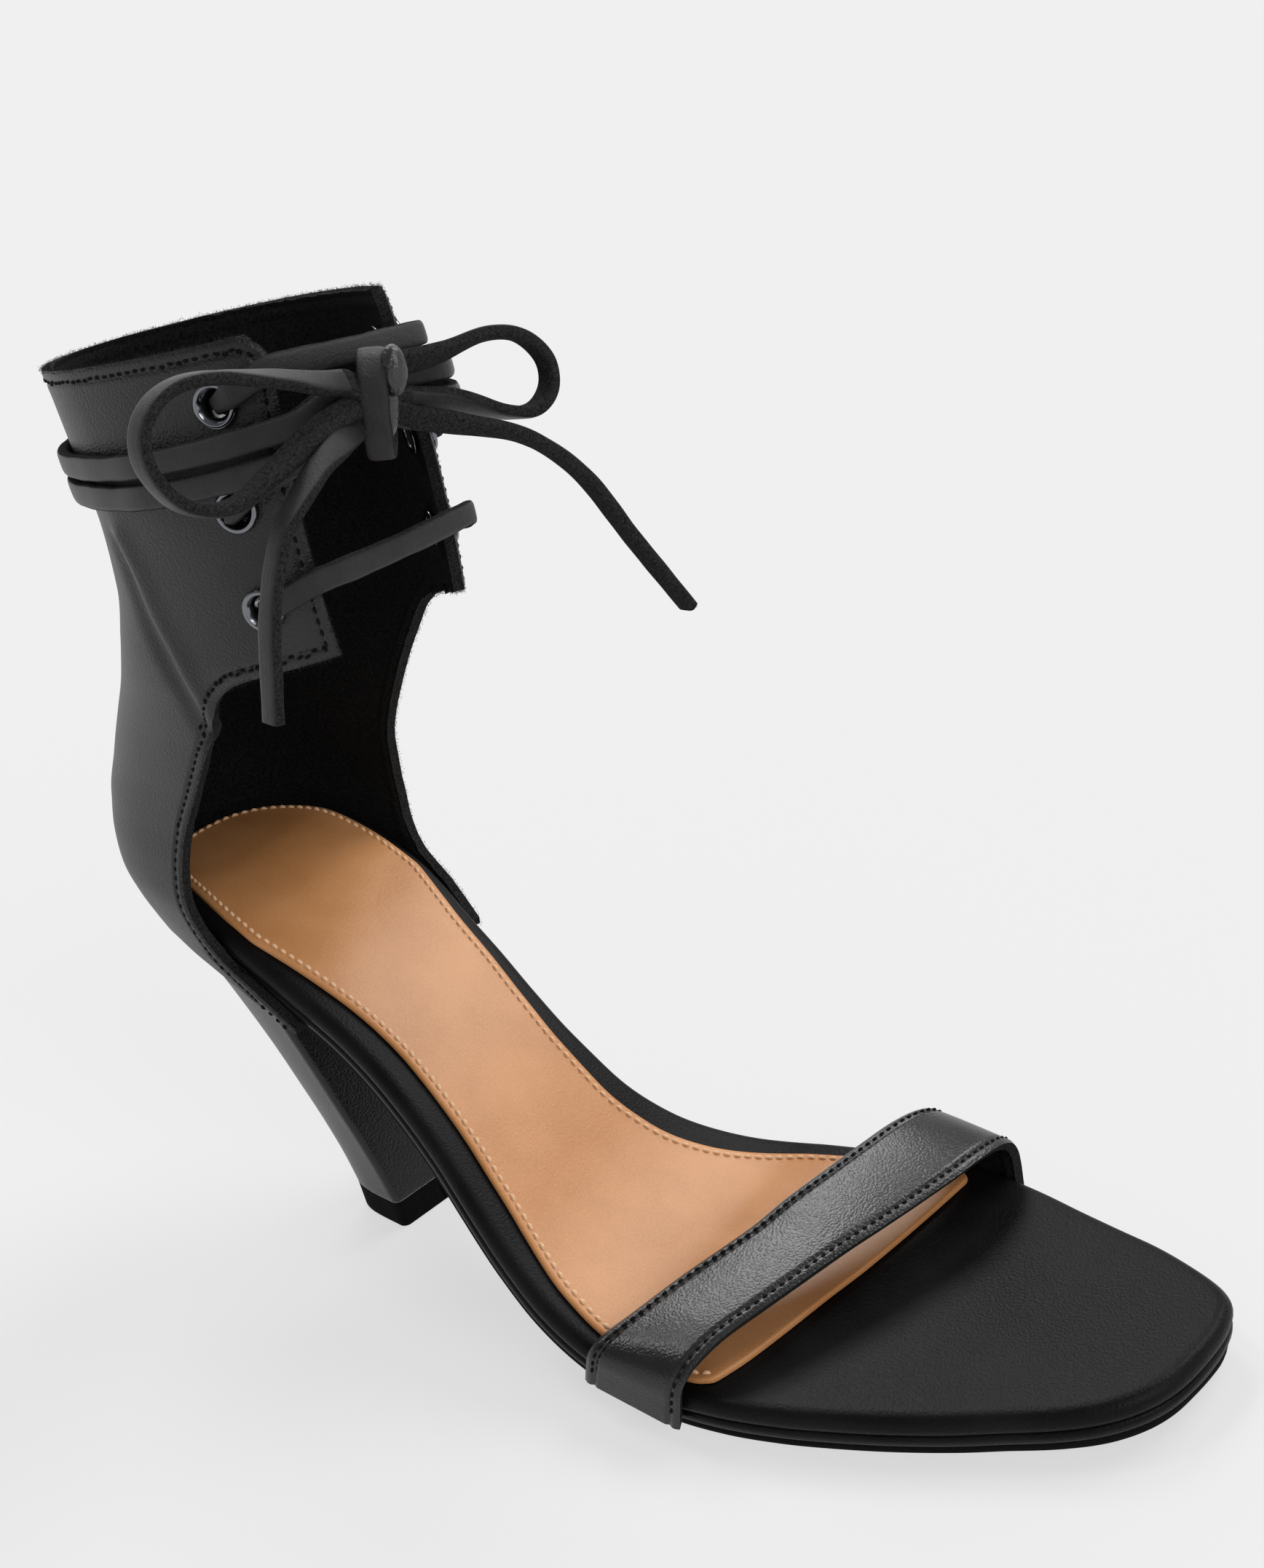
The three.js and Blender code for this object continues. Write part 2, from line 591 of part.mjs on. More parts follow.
function heel() {
  const steps = 10;
  const levels = 12;
  const topRing = heelRing(heelRowAt(0), steps);
  const floorOf = tipHeight + seam;
  const rings = [];
  for (let k = 0; k <= levels; k += 1) {
    const at = k / levels;
    rings.push(heelRing(heelRowAt(at), steps).map(([u, v], i) => {
      const heights = [-1, 1].map((side) => {
        const [x] = fromHeel(topRing[i][0], side * topRing[i][1]);
        const high = heightUnder(x, bedThick(x)) - 2 * seam;
        return high + (floorOf - high) * at;
      });
      return [u, v, ...heights];
    }));
  }
  return piece('heel', pairedLoft(rings), leather());
}

function topLift() {
  const steps = 10;
  const atTip = heelRowAt(1);
  const shrink = (row, share) => ({ ...row, back: row.back * share, half: row.half * share });
  const low = {
    back: tipLength / 2 / heelReach,
    breast: tipLength / 2,
    half: tipHalf / heelTopHalf,
    full: atTip.full,
  };
  const rings = [
    heelRing(atTip, steps).map(([u, v]) => [u, v, tipHeight]),
    heelRing(low, steps).map(([u, v]) => [u, v, 0.5]),
    heelRing(shrink(low, 0.97), steps).map(([u, v]) => [u, v, 0]),
  ];
  return piece('top_lift', pairedLoft(rings), rubber());
}

// The upper's section at a share of the cuff's height, inset by a depth into the leather.
// turnShare runs from 0 at the back through 0.5 at the side to 1 at the front.
const upperColumns = ['back', 'front', 'half', 'full'];
const upperCurves = Object.fromEntries(upperColumns.map((c) => [c, follow(upperRows, 'high', c)]));
function upperSection(high, depth) {
  const back = -upperCurves.back(high) * cuffDepth + depth;
  const front = upperCurves.front(high) * cuffDepth - depth;
  const half = upperCurves.half(high) * cuffHalf - depth;
  const full = upperCurves.full(high);
  const middle = back + (front - back) * 0.45;
  const point = (turnShare) => {
    if (turnShare <= 0.5) {
      const [u, v] = roundBack(middle - back, half, full, turnShare * 2);
      return [middle + u, v];
    }
    const angle = (turnShare - 0.5) * Math.PI;
    return [middle + (front - middle) * Math.sin(angle), half * Math.cos(angle)];
  };
  const turnOf = (u) => {
    if (u < middle) return Math.acos(((middle - u) / (middle - back)) ** (full / 2)) / Math.PI;
    return 0.5 + Math.asin(Math.min((u - middle) / (front - middle), 1)) / Math.PI;
  };
  return { point, turnOf };
}

const firstHigh = upperRows[0].high;
const throatShare = throatHeight / cuffTop;
const counterShare = counterTop / cuffTop;
// Height over the floor of a point of the upper: the lower edge follows the seat and the top edge
// dips to the back
function upperHeight(high, u) {
  const z = high * cuffTop;
  if (high < counterShare) {
    const share = (counterShare - high) / (counterShare - firstHigh);
    const [x] = fromHeel(u, 0);
    const edge = heightUnder(x, bedThick(x)) + 0.4;
    return z + (edge - firstHigh * cuffTop) * share;
  }
  if (high > throatShare) {
    const share = (high - throatShare) / (1 - throatShare);
    const along = Math.min(Math.max((upperCurves.front(1) * cuffDepth - u) / cuffDepth, 0), 1);
    return z - cuffDip * along * share;
  }
  return z;
}

function onUpper(high, turnShare, depth, side) {
  const [u, v] = upperSection(high, depth).point(turnShare);
  return [...fromHeel(u, side * v), upperHeight(high, u)];
}

// Place and outward direction on the upper's outer face
function upperSeat(high, u, side) {
  const turnShare = upperSection(high, 0).turnOf(u);
  const at = new THREE.Vector3(...onUpper(high, turnShare, 0, side));
  const along = new THREE.Vector3(...onUpper(high, turnShare + 0.004, 0, side)).sub(at);
  const up = new THREE.Vector3(...onUpper(high + 0.004, turnShare, 0, side)).sub(at);
  const out = new THREE.Vector3().crossVectors(along, up).multiplyScalar(-side).normalize();
  return { at, out };
}

// The wall as one sheet round the heel and ankle, with flaps that reach past their front edges
function upperWall() {
  const columns = 16;
  const reach = 0.006;
  const highs = upperRows.map((row) => row.high);
  const grid = (depth) => highs.map((high) => {
    const row = [];
    const section = upperSection(high, depth);
    for (let i = -columns; i <= columns; i += 1) {
      const edge = (i < 0 ? flapEdge.outer : flapEdge.inner) + reach;
      const last = Math.min(section.turnOf(edge * cuffDepth), 0.93);
      row.push(onUpper(high, Math.abs(i) / columns * last, depth, i < 0 ? -1 : 1));
    }
    return row;
  });
  const outside = grid(0);
  const inside = grid(wall);
  const solid = shell();
  const top = highs.length - 1;
  const end = outside[0].length - 1;
  for (let r = 0; r < top; r += 1) {
    for (let i = 0; i < end; i += 1) {
      solid.quad(outside[r][i], outside[r + 1][i], outside[r + 1][i + 1], outside[r][i + 1]);
      solid.quad(inside[r][i], inside[r][i + 1], inside[r + 1][i + 1], inside[r + 1][i]);
    }
    solid.quad(outside[r][0], inside[r][0], inside[r + 1][0], outside[r + 1][0]);
    solid.quad(outside[r][end], outside[r + 1][end], inside[r + 1][end], inside[r][end]);
  }
  for (let i = 0; i < end; i += 1) {
    solid.quad(outside[0][i], outside[0][i + 1], inside[0][i + 1], inside[0][i]);
    solid.quad(outside[top][i], inside[top][i], inside[top][i + 1], outside[top][i + 1]);
  }
  return solid.geometry();
}

// What is cut away in front of one side of the upper: the open instep, the flap's front edge and
// its round upper corner, as a prism that runs out to that side
function frontCut(edge, side) {
  const at = (row) => new THREE.Vector2(row.in * cuffDepth, row.high * cuffTop);
  const edgeU = edge * cuffDepth;
  const beyond = cuffDepth;
  const top = upperHeight(1, edgeU);
  const outline = new THREE.Shape();
  outline.moveTo(openRows[0].in * cuffDepth, 0);
  outline.lineTo(openRows[0].in * cuffDepth, openRows[0].high * cuffTop);
  outline.splineThru(openRows.slice(1).map(at));
  outline.lineTo(edgeU, flapCorner * cuffTop);
  outline.lineTo(edgeU, top - flapRound);
  outline.absarc(edgeU - flapRound, top - flapRound, flapRound, 0, Math.PI / 2, false);
  outline.lineTo(edgeU - flapRound, top + beyond);
  outline.lineTo(beyond, top + beyond);
  outline.lineTo(beyond, 0);
  const prism = new THREE.ExtrudeGeometry(outline, { depth: cuffDepth, bevelEnabled: false, curveSegments: 6 });
  // Shape's x is u, its y is height and the prism runs along v
  prism.rotateX(Math.PI / 2);
  if (side > 0) prism.translate(0, cuffDepth, 0);
  prism.rotateZ(-turn);
  prism.translate(0, heelShift, 0);
  return toManifold(prism);
}

function eyeletSeats() {
  const seats = [];
  for (const row of eyeletRows) {
    for (const [sideName, side] of [['outer', -1], ['inner', 1]]) {
      const seat = upperSeat(row.high, flapEdge[sideName] * cuffDepth - eyeletSetback, side);
      seats.push({ name: `eyelet_${row.name}_${sideName}`, ...seat });
    }
  }
  return seats;
}

function upper() {
  let solid = toManifold(upperWall());
  solid = solid.subtract(frontCut(flapEdge.outer, -1)).subtract(frontCut(flapEdge.inner, 1));
  solid = solid.subtract(footbedRoom());
  const drillLength = 16;
  for (const seat of eyeletSeats()) {
    const drill = new THREE.CylinderGeometry(
      eyeletBarrel + holeClearance, eyeletBarrel + holeClearance, drillLength, 16);
    drill.applyQuaternion(new THREE.Quaternion().setFromUnitVectors(new THREE.Vector3(0, 1, 0), seat.out));
    drill.translate(seat.at.x, seat.at.y, seat.at.z);
    solid = solid.subtract(toManifold(drill));
  }
  return piece('upper', fromManifold(solid), leather());
}

// Rolled ring: a barrel through the wall, a rounded flange outside and a flatter one inside
function eyelet(seat) {
  const lift = 0.5;
  const inside = -wall - 0.65;
  const profile = [
    [eyeletHole, inside],
    [eyeletHole, lift],
    [(eyeletBarrel + eyeletFlange) / 2, flangeTop],
    [eyeletFlange, lift + 0.45],
    [eyeletFlange - 0.15, lift],
    [eyeletBarrel, lift],
    [eyeletBarrel, inside],
    [eyeletFlange - 0.4, inside],
    [eyeletFlange - 0.5, inside - 0.6],
    [eyeletHole, inside - 0.6],
  ].map(([r, y]) => new THREE.Vector2(r, y));
  profile.push(profile[0].clone());
  const ring = new THREE.LatheGeometry(profile.reverse(), 12);
  const mesh = piece(seat.name, ring, metal());
  mesh.quaternion.setFromUnitVectors(new THREE.Vector3(0, 1, 0), seat.out);
  mesh.position.copy(seat.at);
  return mesh;
}

// The toe strap: a band with its ends down the sides of the footbed
function toeStrap() {
  const edgeRow = (row, column, rise) => {
    const at = row[column];
    const edge = row.side < 0 ? outerAt(at) : innerAt(at);
    const y = row.side * (edge * ballWidth + seam + strapThick);
    const x = at * length - heelReach;
    return [x, y, topAt(x) + row[rise] * strapRise];
  };
  const across = 4;
  const crown = 0.5;
  const skin = strapRows.map((row) => {
    const back = edgeRow(row, 'back', 'riseBack');
    const front = edgeRow(row, 'front', 'riseFront');
    return Array.from({ length: across + 1 }, (unused, k) => {
      const t = k / across;
      const point = back.map((value, axis) => value + (front[axis] - value) * t);
      const arch = Math.max(1 - Math.abs(row.side), 0) > 0.01 ? crown * 4 * t * (1 - t) : 0;
      return [point[0], point[1], point[2] + arch];
    });
  });
  const inside = skin.map((row, i) => row.map((point, k) => {
    const before = skin[Math.max(i - 1, 0)][k];
    const after = skin[Math.min(i + 1, skin.length - 1)][k];
    const dy = after[1] - before[1];
    const dz = after[2] - before[2];
    const size = Math.hypot(dy, dz);
    return [point[0], point[1] + dz / size * strapThick, point[2] - dy / size * strapThick];
  }));
  const solid = shell();
  const last = skin.length - 1;
  for (let i = 0; i < last; i += 1) {
    for (let k = 0; k < across; k += 1) {
      solid.quad(skin[i][k], skin[i][k + 1], skin[i + 1][k + 1], skin[i + 1][k]);
      solid.quad(inside[i][k], inside[i + 1][k], inside[i + 1][k + 1], inside[i][k + 1]);
    }
    solid.quad(skin[i][0], skin[i + 1][0], inside[i + 1][0], inside[i][0]);
    solid.quad(skin[i][across], inside[i][across], inside[i + 1][across], skin[i + 1][across]);
  }
  for (let k = 0; k < across; k += 1) {
    solid.quad(skin[0][k], inside[0][k], inside[0][k + 1], skin[0][k + 1]);
    solid.quad(skin[last][k], skin[last][k + 1], inside[last][k + 1], inside[last][k]);
  }
  const strap = toManifold(solid.geometry()).subtract(footbedRoom());
  return piece('toe_strap', fromManifold(strap), leather());
}

// A flat thong through places with their outward directions
function thong(places) {
  const rings = places.map(({ at, out }, i) => {
    const along = places[Math.min(i + 1, places.length - 1)].at.clone()
      .sub(places[Math.max(i - 1, 0)].at).normalize();
    const wide = new THREE.Vector3().crossVectors(out, along).normalize().multiplyScalar(laceWidth / 2);
    const thick = new THREE.Vector3().crossVectors(along, wide).normalize().multiplyScalar(laceThick / 2);
    return [[1, 1], [1, -1], [-1, -1], [-1, 1]].map(([a, b]) => (
      at.clone().addScaledVector(wide, a).addScaledVector(thick, b).toArray()));
  });
  const solid = shell();
  for (let i = 0; i < rings.length - 1; i += 1) {
    for (let k = 0; k < 4; k += 1) {
      const n = (k + 1) % 4;
      solid.quad(rings[i][k], rings[i + 1][k], rings[i + 1][n], rings[i][n]);
    }
  }
  const last = rings.length - 1;
  solid.quad(rings[0][0], rings[0][1], rings[0][2], rings[0][3]);
  solid.quad(rings[last][3], rings[last][2], rings[last][1], rings[last][0]);
  return solid.geometry();
}

// Place beside the upper at an offset from its outer face
function besideUpper(high, turnShare, off) {
  const side = turnShare < 0 ? -1 : 1;
  const share = Math.abs(turnShare);
  const place = (h, t) => new THREE.Vector3(...onUpper(h, t, -off, side));
  const at = place(high, share);
  const along = place(high, share + 0.01).sub(at);
  const up = place(high + 0.01, share).sub(at);
  return { at, out: new THREE.Vector3().crossVectors(along, up).multiplyScalar(-side).normalize() };
}

function laceWrap(name) {
  const rows = wrapRows[name];
  const curves = ['high', 'off'].map((column) => follow(rows, 'turn', column));
  const steps = 40;
  const places = Array.from({ length: steps + 1 }, (unused, i) => {
    const at = rows[0].turn + (rows[rows.length - 1].turn - rows[0].turn) * i / steps;
    return besideUpper(curves[0](at), at, curves[1](at) + laceThick / 2);
  });
  return piece(`lace_wrap_${name}`, thong(places), suede());
}

// A crossing from an outer eyelet over the throat to the inner eyelet of the same row; it lies a
// little higher between the flaps
function laceBar(row) {
  const base = eyeletRows.find(({ name }) => name === row.name).high;
  const overEyelet = flangeTop + seam + laceThick / 2;
  const steps = [0, 0.35, 0.7, 1];
  const half = (sideName, side) => steps.map((t) => {
    const u = flapEdge[sideName] * cuffDepth - eyeletSetback * (1 - t);
    const high = base + row[sideName] * t;
    return besideUpper(high, side * upperSection(high, 0).turnOf(u), overEyelet);
  });
  const places = half('outer', -1);
  const innerPlaces = half('inner', 1).reverse();
  const a = places[places.length - 1];
  const b = innerPlaces[0];
  for (const t of [0.25, 0.5, 0.75]) {
    places.push({
      at: a.at.clone().lerp(b.at, t).add(new THREE.Vector3(4 * t * (1 - t) * barBow, 0, 0)),
      out: a.out.clone().lerp(b.out, t).normalize(),
    });
  }
  return piece(`lace_bar_${row.name}`, thong([...places, ...innerPlaces]), suede());
}

function laceKnot() {
  const ball = new THREE.SphereGeometry(1, 12, 8);
  ball.scale(...knotHalf);
  ball.rotateZ(-turn);
  const [x, y] = fromHeel(knotPlace[0], knotPlace[1]);
  ball.translate(x, y, knotPlace[2]);
  return piece('lace_knot', ball, suede());
}

function cord(name) {
  const points = cordRoutes[name].map(([u, v, z]) => new THREE.Vector3(...fromHeel(u, v), z));
  const route = new THREE.CatmullRomCurve3(points);
  const section = new THREE.Shape();
  const sides = 8;
  for (let i = 0; i < sides; i += 1) {
    const angle = (i + 0.5) / sides * 2 * Math.PI;
    const place = [Math.cos(angle) * cordAcross / 2, Math.sin(angle) * cordAcross / 2];
    if (i === 0) section.moveTo(...place);
    else section.lineTo(...place);
  }
  const steps = Math.round(route.getLength() / (cordAcross * 2));
  return piece(name, new THREE.ExtrudeGeometry(section, { steps, extrudePath: route }), suede());
}

const parts = new THREE.Group();
parts.add(outsole(), footbed(), sock(), heel(), topLift(), upper(), toeStrap());
for (const seat of eyeletSeats()) parts.add(eyelet(seat));
for (const row of barRows) parts.add(laceBar(row));
for (const name of Object.keys(wrapRows)) parts.add(laceWrap(name));
parts.add(laceKnot());
for (const name of Object.keys(cordRoutes)) parts.add(cord(name));

export default parts;
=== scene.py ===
# %% [markdown]
# # A lace-up heeled sandal
# The sandal stands empty on its heel tip and forefoot. A black leather back rises from the heel to a
# laced ankle cuff, one strap crosses the toes, and a tan insock lies on a wrapped footbed.
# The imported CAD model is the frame: every piece here lies where its solid lies, and the same sizes
# of the shoe are used again, so that nothing has to be fitted by eye.

# %% Frame
import math

import bpy
import numpy as np
from mathutils import Matrix, Vector
from mathutils.bvhtree import BVHTree
from mathutils.kdtree import KDTree


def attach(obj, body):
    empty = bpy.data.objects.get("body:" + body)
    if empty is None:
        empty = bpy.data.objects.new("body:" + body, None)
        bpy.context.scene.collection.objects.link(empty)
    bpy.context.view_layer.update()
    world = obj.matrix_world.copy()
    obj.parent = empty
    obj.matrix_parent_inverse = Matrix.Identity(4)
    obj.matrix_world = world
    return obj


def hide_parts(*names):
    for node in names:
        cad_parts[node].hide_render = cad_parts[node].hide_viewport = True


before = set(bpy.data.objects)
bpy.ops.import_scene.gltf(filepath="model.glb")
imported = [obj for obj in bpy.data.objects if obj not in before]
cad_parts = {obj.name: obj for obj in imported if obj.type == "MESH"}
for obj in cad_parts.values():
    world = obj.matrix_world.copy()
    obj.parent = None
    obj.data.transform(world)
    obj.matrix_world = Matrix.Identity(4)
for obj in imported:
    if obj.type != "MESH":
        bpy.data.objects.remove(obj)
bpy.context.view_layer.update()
MM = 0.001

# %% [markdown]
# ## Camera
# The picture was taken from ahead of the shoe, on its outer side and above it, with the camera
# rolled a little. A camera is placed by its own three directions: right, up and back.

# %% Camera
camera_place = Vector((278.1, -244.4, 238.2)) * MM
camera_right = Vector((0.8153, 0.5472, -0.1890))
camera_up = Vector((-0.0772, 0.4263, 0.9013))
camera_back = camera_right.cross(camera_up)
bpy.ops.object.camera_add()
camera = bpy.context.object
turn = Matrix((camera_right, camera_up, camera_back)).transposed()
camera.matrix_world = Matrix.Translation(camera_place) @ turn.to_4x4()
camera.data.sensor_fit = "VERTICAL"
camera.data.sensor_height = 36.0
camera.data.lens = 44.88
camera.data.clip_start = 0.01
camera.data.clip_end = 60.0
bpy.context.scene.camera = camera
print("camera height above the floor, mm:", round(camera.location.z / MM))

# %% [markdown]
# ## The shoe's own sizes
# The heel block, the heel counter and the cuff are turned outwards in plan, so they have a frame of
# their own: u runs forwards, v to the inner side of the foot. All lengths are in millimetres, and
# the tables hold shares of the named sizes, as they do in the solids.

# %% Sizes
TOE_REACH = 178.8
HEEL_REACH = 46.0
BALL_WIDTH = 79.0
SEAT_HEIGHT = 80.0
SEAT_HALF = 24.4
HEEL_TURN = math.radians(10.5)
HEEL_SHIFT = 1.5
BED_THICK = 6.9
SEAT_EXTRA = 3.4
OUTSOLE_THICK = 2.2
OUTSOLE_INSET = 2.0
SOCK_THICK = 1.0
SEAM = 0.3
LENGTH = TOE_REACH + HEEL_REACH
TIP_HEIGHT = 6.4
TIP_LENGTH = 19.2
TIP_HALF = 11.6
BREAST_TOP = -1.0
HEEL_TOP_HALF = 22.8
CUFF_TOP = 193.2
CUFF_DIP = 7.4
CUFF_DEPTH = 98.0
CUFF_HALF = 28.0
THROAT = 137.0
COUNTER_TOP = 98.0
WALL = 2.0
FLAP_CORNER = 0.709
FLAP_EDGE = {-1: 0.484, 1: 0.446}
FLAP_ROUND = 6.0
EYELET_HIGH = (0.763, 0.856, 0.948)
EYELET_SETBACK = 8.6
EYELET_HOLE = 2.1
EYELET_BARREL = 2.6
EYELET_FLANGE = 3.9
EYELET_CUT = 2.9
STRAP_THICK = 1.9
STRAP_RISE = 14.0
STRAP_BOW = 0.5
LACE_WIDTH = 4.4
LACE_THICK = 2.3

# at, outer edge, inner edge, height of the footbed's top
SOLE = np.array([
    (0.00, 0.160, 0.160, 1.000), (0.10, 0.262, 0.350, 0.984), (0.16, 0.284, 0.342, 0.935),
    (0.205, 0.292, 0.328, 0.881), (0.245, 0.306, 0.302, 0.826), (0.285, 0.314, 0.260, 0.760),
    (0.325, 0.330, 0.228, 0.685), (0.365, 0.356, 0.196, 0.600), (0.405, 0.390, 0.176, 0.505),
    (0.445, 0.434, 0.172, 0.404), (0.485, 0.475, 0.204, 0.305), (0.520, 0.503, 0.262, 0.232),
    (0.555, 0.517, 0.334, 0.175), (0.590, 0.524, 0.403, 0.138), (0.630, 0.525, 0.444, 0.121),
    (0.675, 0.516, 0.466, 0.1175), (0.720, 0.494, 0.466, 0.1175), (0.760, 0.464, 0.452, 0.1175),
    (0.800, 0.428, 0.424, 0.1175), (0.840, 0.385, 0.386, 0.1175), (0.880, 0.334, 0.347, 0.120),
    (0.920, 0.286, 0.306, 0.126), (0.950, 0.236, 0.262, 0.133), (0.970, 0.182, 0.228, 0.138),
    (0.985, 0.112, 0.196, 0.142), (0.995, 0.010, 0.158, 0.145), (1.00, -0.080, 0.120, 0.146),
])
# height, back, front, half breadth, squareness of the back
UPPER = np.array([
    (0.342, 0.478, 0.51, 0.93, 2.6), (0.362, 0.495, 0.51, 0.96, 2.6), (0.392, 0.513, 0.50, 1.00, 2.6),
    (0.428, 0.526, 0.49, 1.03, 2.6), (0.468, 0.533, 0.485, 1.01, 2.55), (0.511, 0.523, 0.485, 0.965, 2.5),
    (0.560, 0.480, 0.50, 0.93, 2.35), (0.608, 0.425, 0.52, 0.92, 2.2), (0.645, 0.375, 0.535, 0.935, 2.05),
    (0.684, 0.322, 0.55, 0.97, 1.95), (0.709, 0.293, 0.555, 0.985, 1.9), (0.770, 0.250, 0.557, 0.99, 1.8),
    (0.840, 0.243, 0.556, 0.99, 1.75), (0.910, 0.270, 0.552, 0.965, 1.8), (0.965, 0.300, 0.546, 0.945, 1.8),
    (1.000, 0.315, 0.540, 0.935, 1.85),
])
# height and place of the open front below the flaps
OPEN = np.array([
    (0.300, 0.130), (0.342, 0.030), (0.364, -0.035), (0.395, -0.070), (0.430, -0.078), (0.468, -0.064),
    (0.511, -0.030), (0.560, 0.040), (0.608, 0.115), (0.647, 0.180), (0.671, 0.222), (0.688, 0.285),
    (0.700, 0.390),
])
# share of the way down, back, half breadth, squareness of the heel block
HEEL = np.array([
    (0.00, 0.975, 1.00, 2.6), (0.12, 0.800, 0.935, 2.6), (0.26, 0.650, 0.860, 2.6),
    (0.42, 0.515, 0.775, 2.6), (0.58, 0.405, 0.695, 2.7), (0.74, 0.315, 0.615, 2.8),
    (0.88, 0.255, 0.555, 2.9), (1.00, 0.222, 0.515, 3.0),
])


def follow(table, column):
    """A smooth curve through one column of a table that never overshoots its points"""
    x, y = table[:, 0], table[:, column]
    step = np.diff(y) / np.diff(x)
    slope = np.empty_like(y)
    slope[0], slope[-1] = step[0], step[-1]
    product = step[:-1] * step[1:]
    total = step[:-1] + step[1:]
    slope[1:-1] = np.where(product > 0, 2 * product / np.where(total == 0, 1, total), 0)

    def at(value):
        p = np.clip(value, x[0], x[-1])
        i = np.clip(np.searchsorted(x, p, side="right") - 1, 0, len(x) - 2)
        h = x[i + 1] - x[i]
        t = (p - x[i]) / h
        return (y[i] * (1 + 2 * t) * (1 - t) ** 2 + slope[i] * h * t * (1 - t) ** 2
                + y[i + 1] * t * t * (3 - 2 * t) - slope[i + 1] * h * t * t * (1 - t))
    return at


outer_at, inner_at, rise_at = (follow(SOLE, column) for column in (1, 2, 3))
upper_back, upper_front, upper_half, upper_full = (follow(UPPER, column) for column in (1, 2, 3, 4))


def from_heel(u, v):
    """Plan place of a point of the turned heel frame"""
    return (u * math.cos(HEEL_TURN) + v * math.sin(HEEL_TURN),
            HEEL_SHIFT - u * math.sin(HEEL_TURN) + v * math.cos(HEEL_TURN))


def heel_place(rows):
    """Places in the shoe's frame of rows of u, v and height"""
    rows = np.asarray(rows, float)
    return np.stack([*from_heel(rows[:, 0], rows[:, 1]), rows[:, 2]], -1)


def top_at(x):
    return SEAT_HEIGHT * rise_at((x + HEEL_REACH) / LENGTH)


def on_sole(x, y, drop):
    """Place at a depth under the footbed's top, measured square to it"""
    slope = top_at(x + 0.5) - top_at(x - 0.5)
    size = np.hypot(slope, 1)
    return np.stack([x + slope / size * drop, y + 0 * x, top_at(x) - drop / size], -1)


def bed_thick(x):
    return BED_THICK + SEAT_EXTRA * np.clip(-x / HEEL_REACH, 0, 1)


def height_under(x, drop):
    guess = np.array(x, float)
    for _ in range(12):
        guess = guess + x - on_sole(guess, 0, drop)[..., 0]
    return on_sole(guess, 0, drop)[..., 2]


def round_back(back, half, full, share):
    angle = share * math.pi / 2
    return -back * np.cos(angle) ** (2 / full), half * np.sin(angle) ** (2 / full)


print("shoe length over the footbed, mm:", LENGTH)

# %% [markdown]
# ## Laying leather on the last
# A shoemaker cuts a flat piece and pulls it over the last. The same is done here: a flat grid is
# added, and each of its corners is moved to its place on the form, which is worked out from the
# sizes above. A grid gives even four-sided faces, so the leather shades softly and takes a fine
# groove or crease where it is wanted.

# %% Helpers for meshes
def deselect():
    if bpy.context.mode != "OBJECT":
        bpy.ops.object.mode_set(mode="OBJECT")
    bpy.ops.object.select_all(action="DESELECT")


def active(obj):
    deselect()
    obj.select_set(True)
    bpy.context.view_layer.objects.active = obj


def read(items, key):
    """A vector property of all corners or faces, as rows"""
    rows = np.empty(len(items) * 3, np.float32)
    items.foreach_get(key, rows)
    return rows.reshape(-1, 3).astype(float)


def corners_of(obj):
    return read(obj.data.vertices, "co")


def normals_of(obj):
    return read(obj.data.vertices, "normal")


def move_corners(obj, places):
    obj.data.vertices.foreach_set("co", np.asarray(places, np.float32).ravel())
    obj.data.update()


def lay(name, columns, rows, place):
    """A flat grid whose corners are moved to place(s, t) in millimetres; s and t run from 0 to 1"""
    deselect()
    bpy.ops.mesh.primitive_grid_add(x_subdivisions=columns, y_subdivisions=rows, size=1)
    obj = bpy.context.object
    obj.name = obj.data.name = name
    share = np.round(corners_of(obj)[:, :2] + 0.5, 6)
    move_corners(obj, place(share[:, 0], share[:, 1]) * MM)
    return obj


def edit(obj, *steps):
    """Runs edit-mode operators on the whole mesh"""
    active(obj)
    bpy.ops.object.mode_set(mode="EDIT")
    bpy.ops.mesh.select_all(action="SELECT")
    for step in steps:
        step()
    bpy.ops.object.mode_set(mode="OBJECT")


def weld():
    bpy.ops.mesh.remove_doubles(threshold=0.00002)


def face_outwards():
    bpy.ops.mesh.normals_make_consistent(inside=False)


def close_ends():
    bpy.ops.mesh.select_all(action="DESELECT")
    bpy.ops.mesh.select_non_manifold(extend=False, use_wire=False, use_multi_face=False,
                                     use_non_contiguous=False, use_verts=False)
    bpy.ops.mesh.fill()
    bpy.ops.mesh.select_all(action="SELECT")


def modify(obj, kind, **settings):
    active(obj)
    modifier = obj.modifiers.new(kind.lower(), kind)
    for key, value in settings.items():
        setattr(modifier, key, value)
    bpy.ops.object.modifier_apply(modifier=modifier.name)


def joined(name, *objects):
    deselect()
    for obj in objects:
        obj.select_set(True)
    bpy.context.view_layer.objects.active = objects[0]
    if len(objects) > 1:
        bpy.ops.object.join()
    obj = bpy.context.object
    obj.name = obj.data.name = name
    return obj


def smooth(obj, degrees=50):
    active(obj)
    bpy.ops.object.shade_smooth_by_angle(angle=math.radians(degrees))


def finish_piece(obj, material, slot, *nodes):
    if material is not None:
        obj.data.materials.clear()
        obj.data.materials.append(material)
    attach(obj, "root")
    if nodes:
        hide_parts(*nodes)
    print(obj.name, len(obj.data.polygons), "faces")


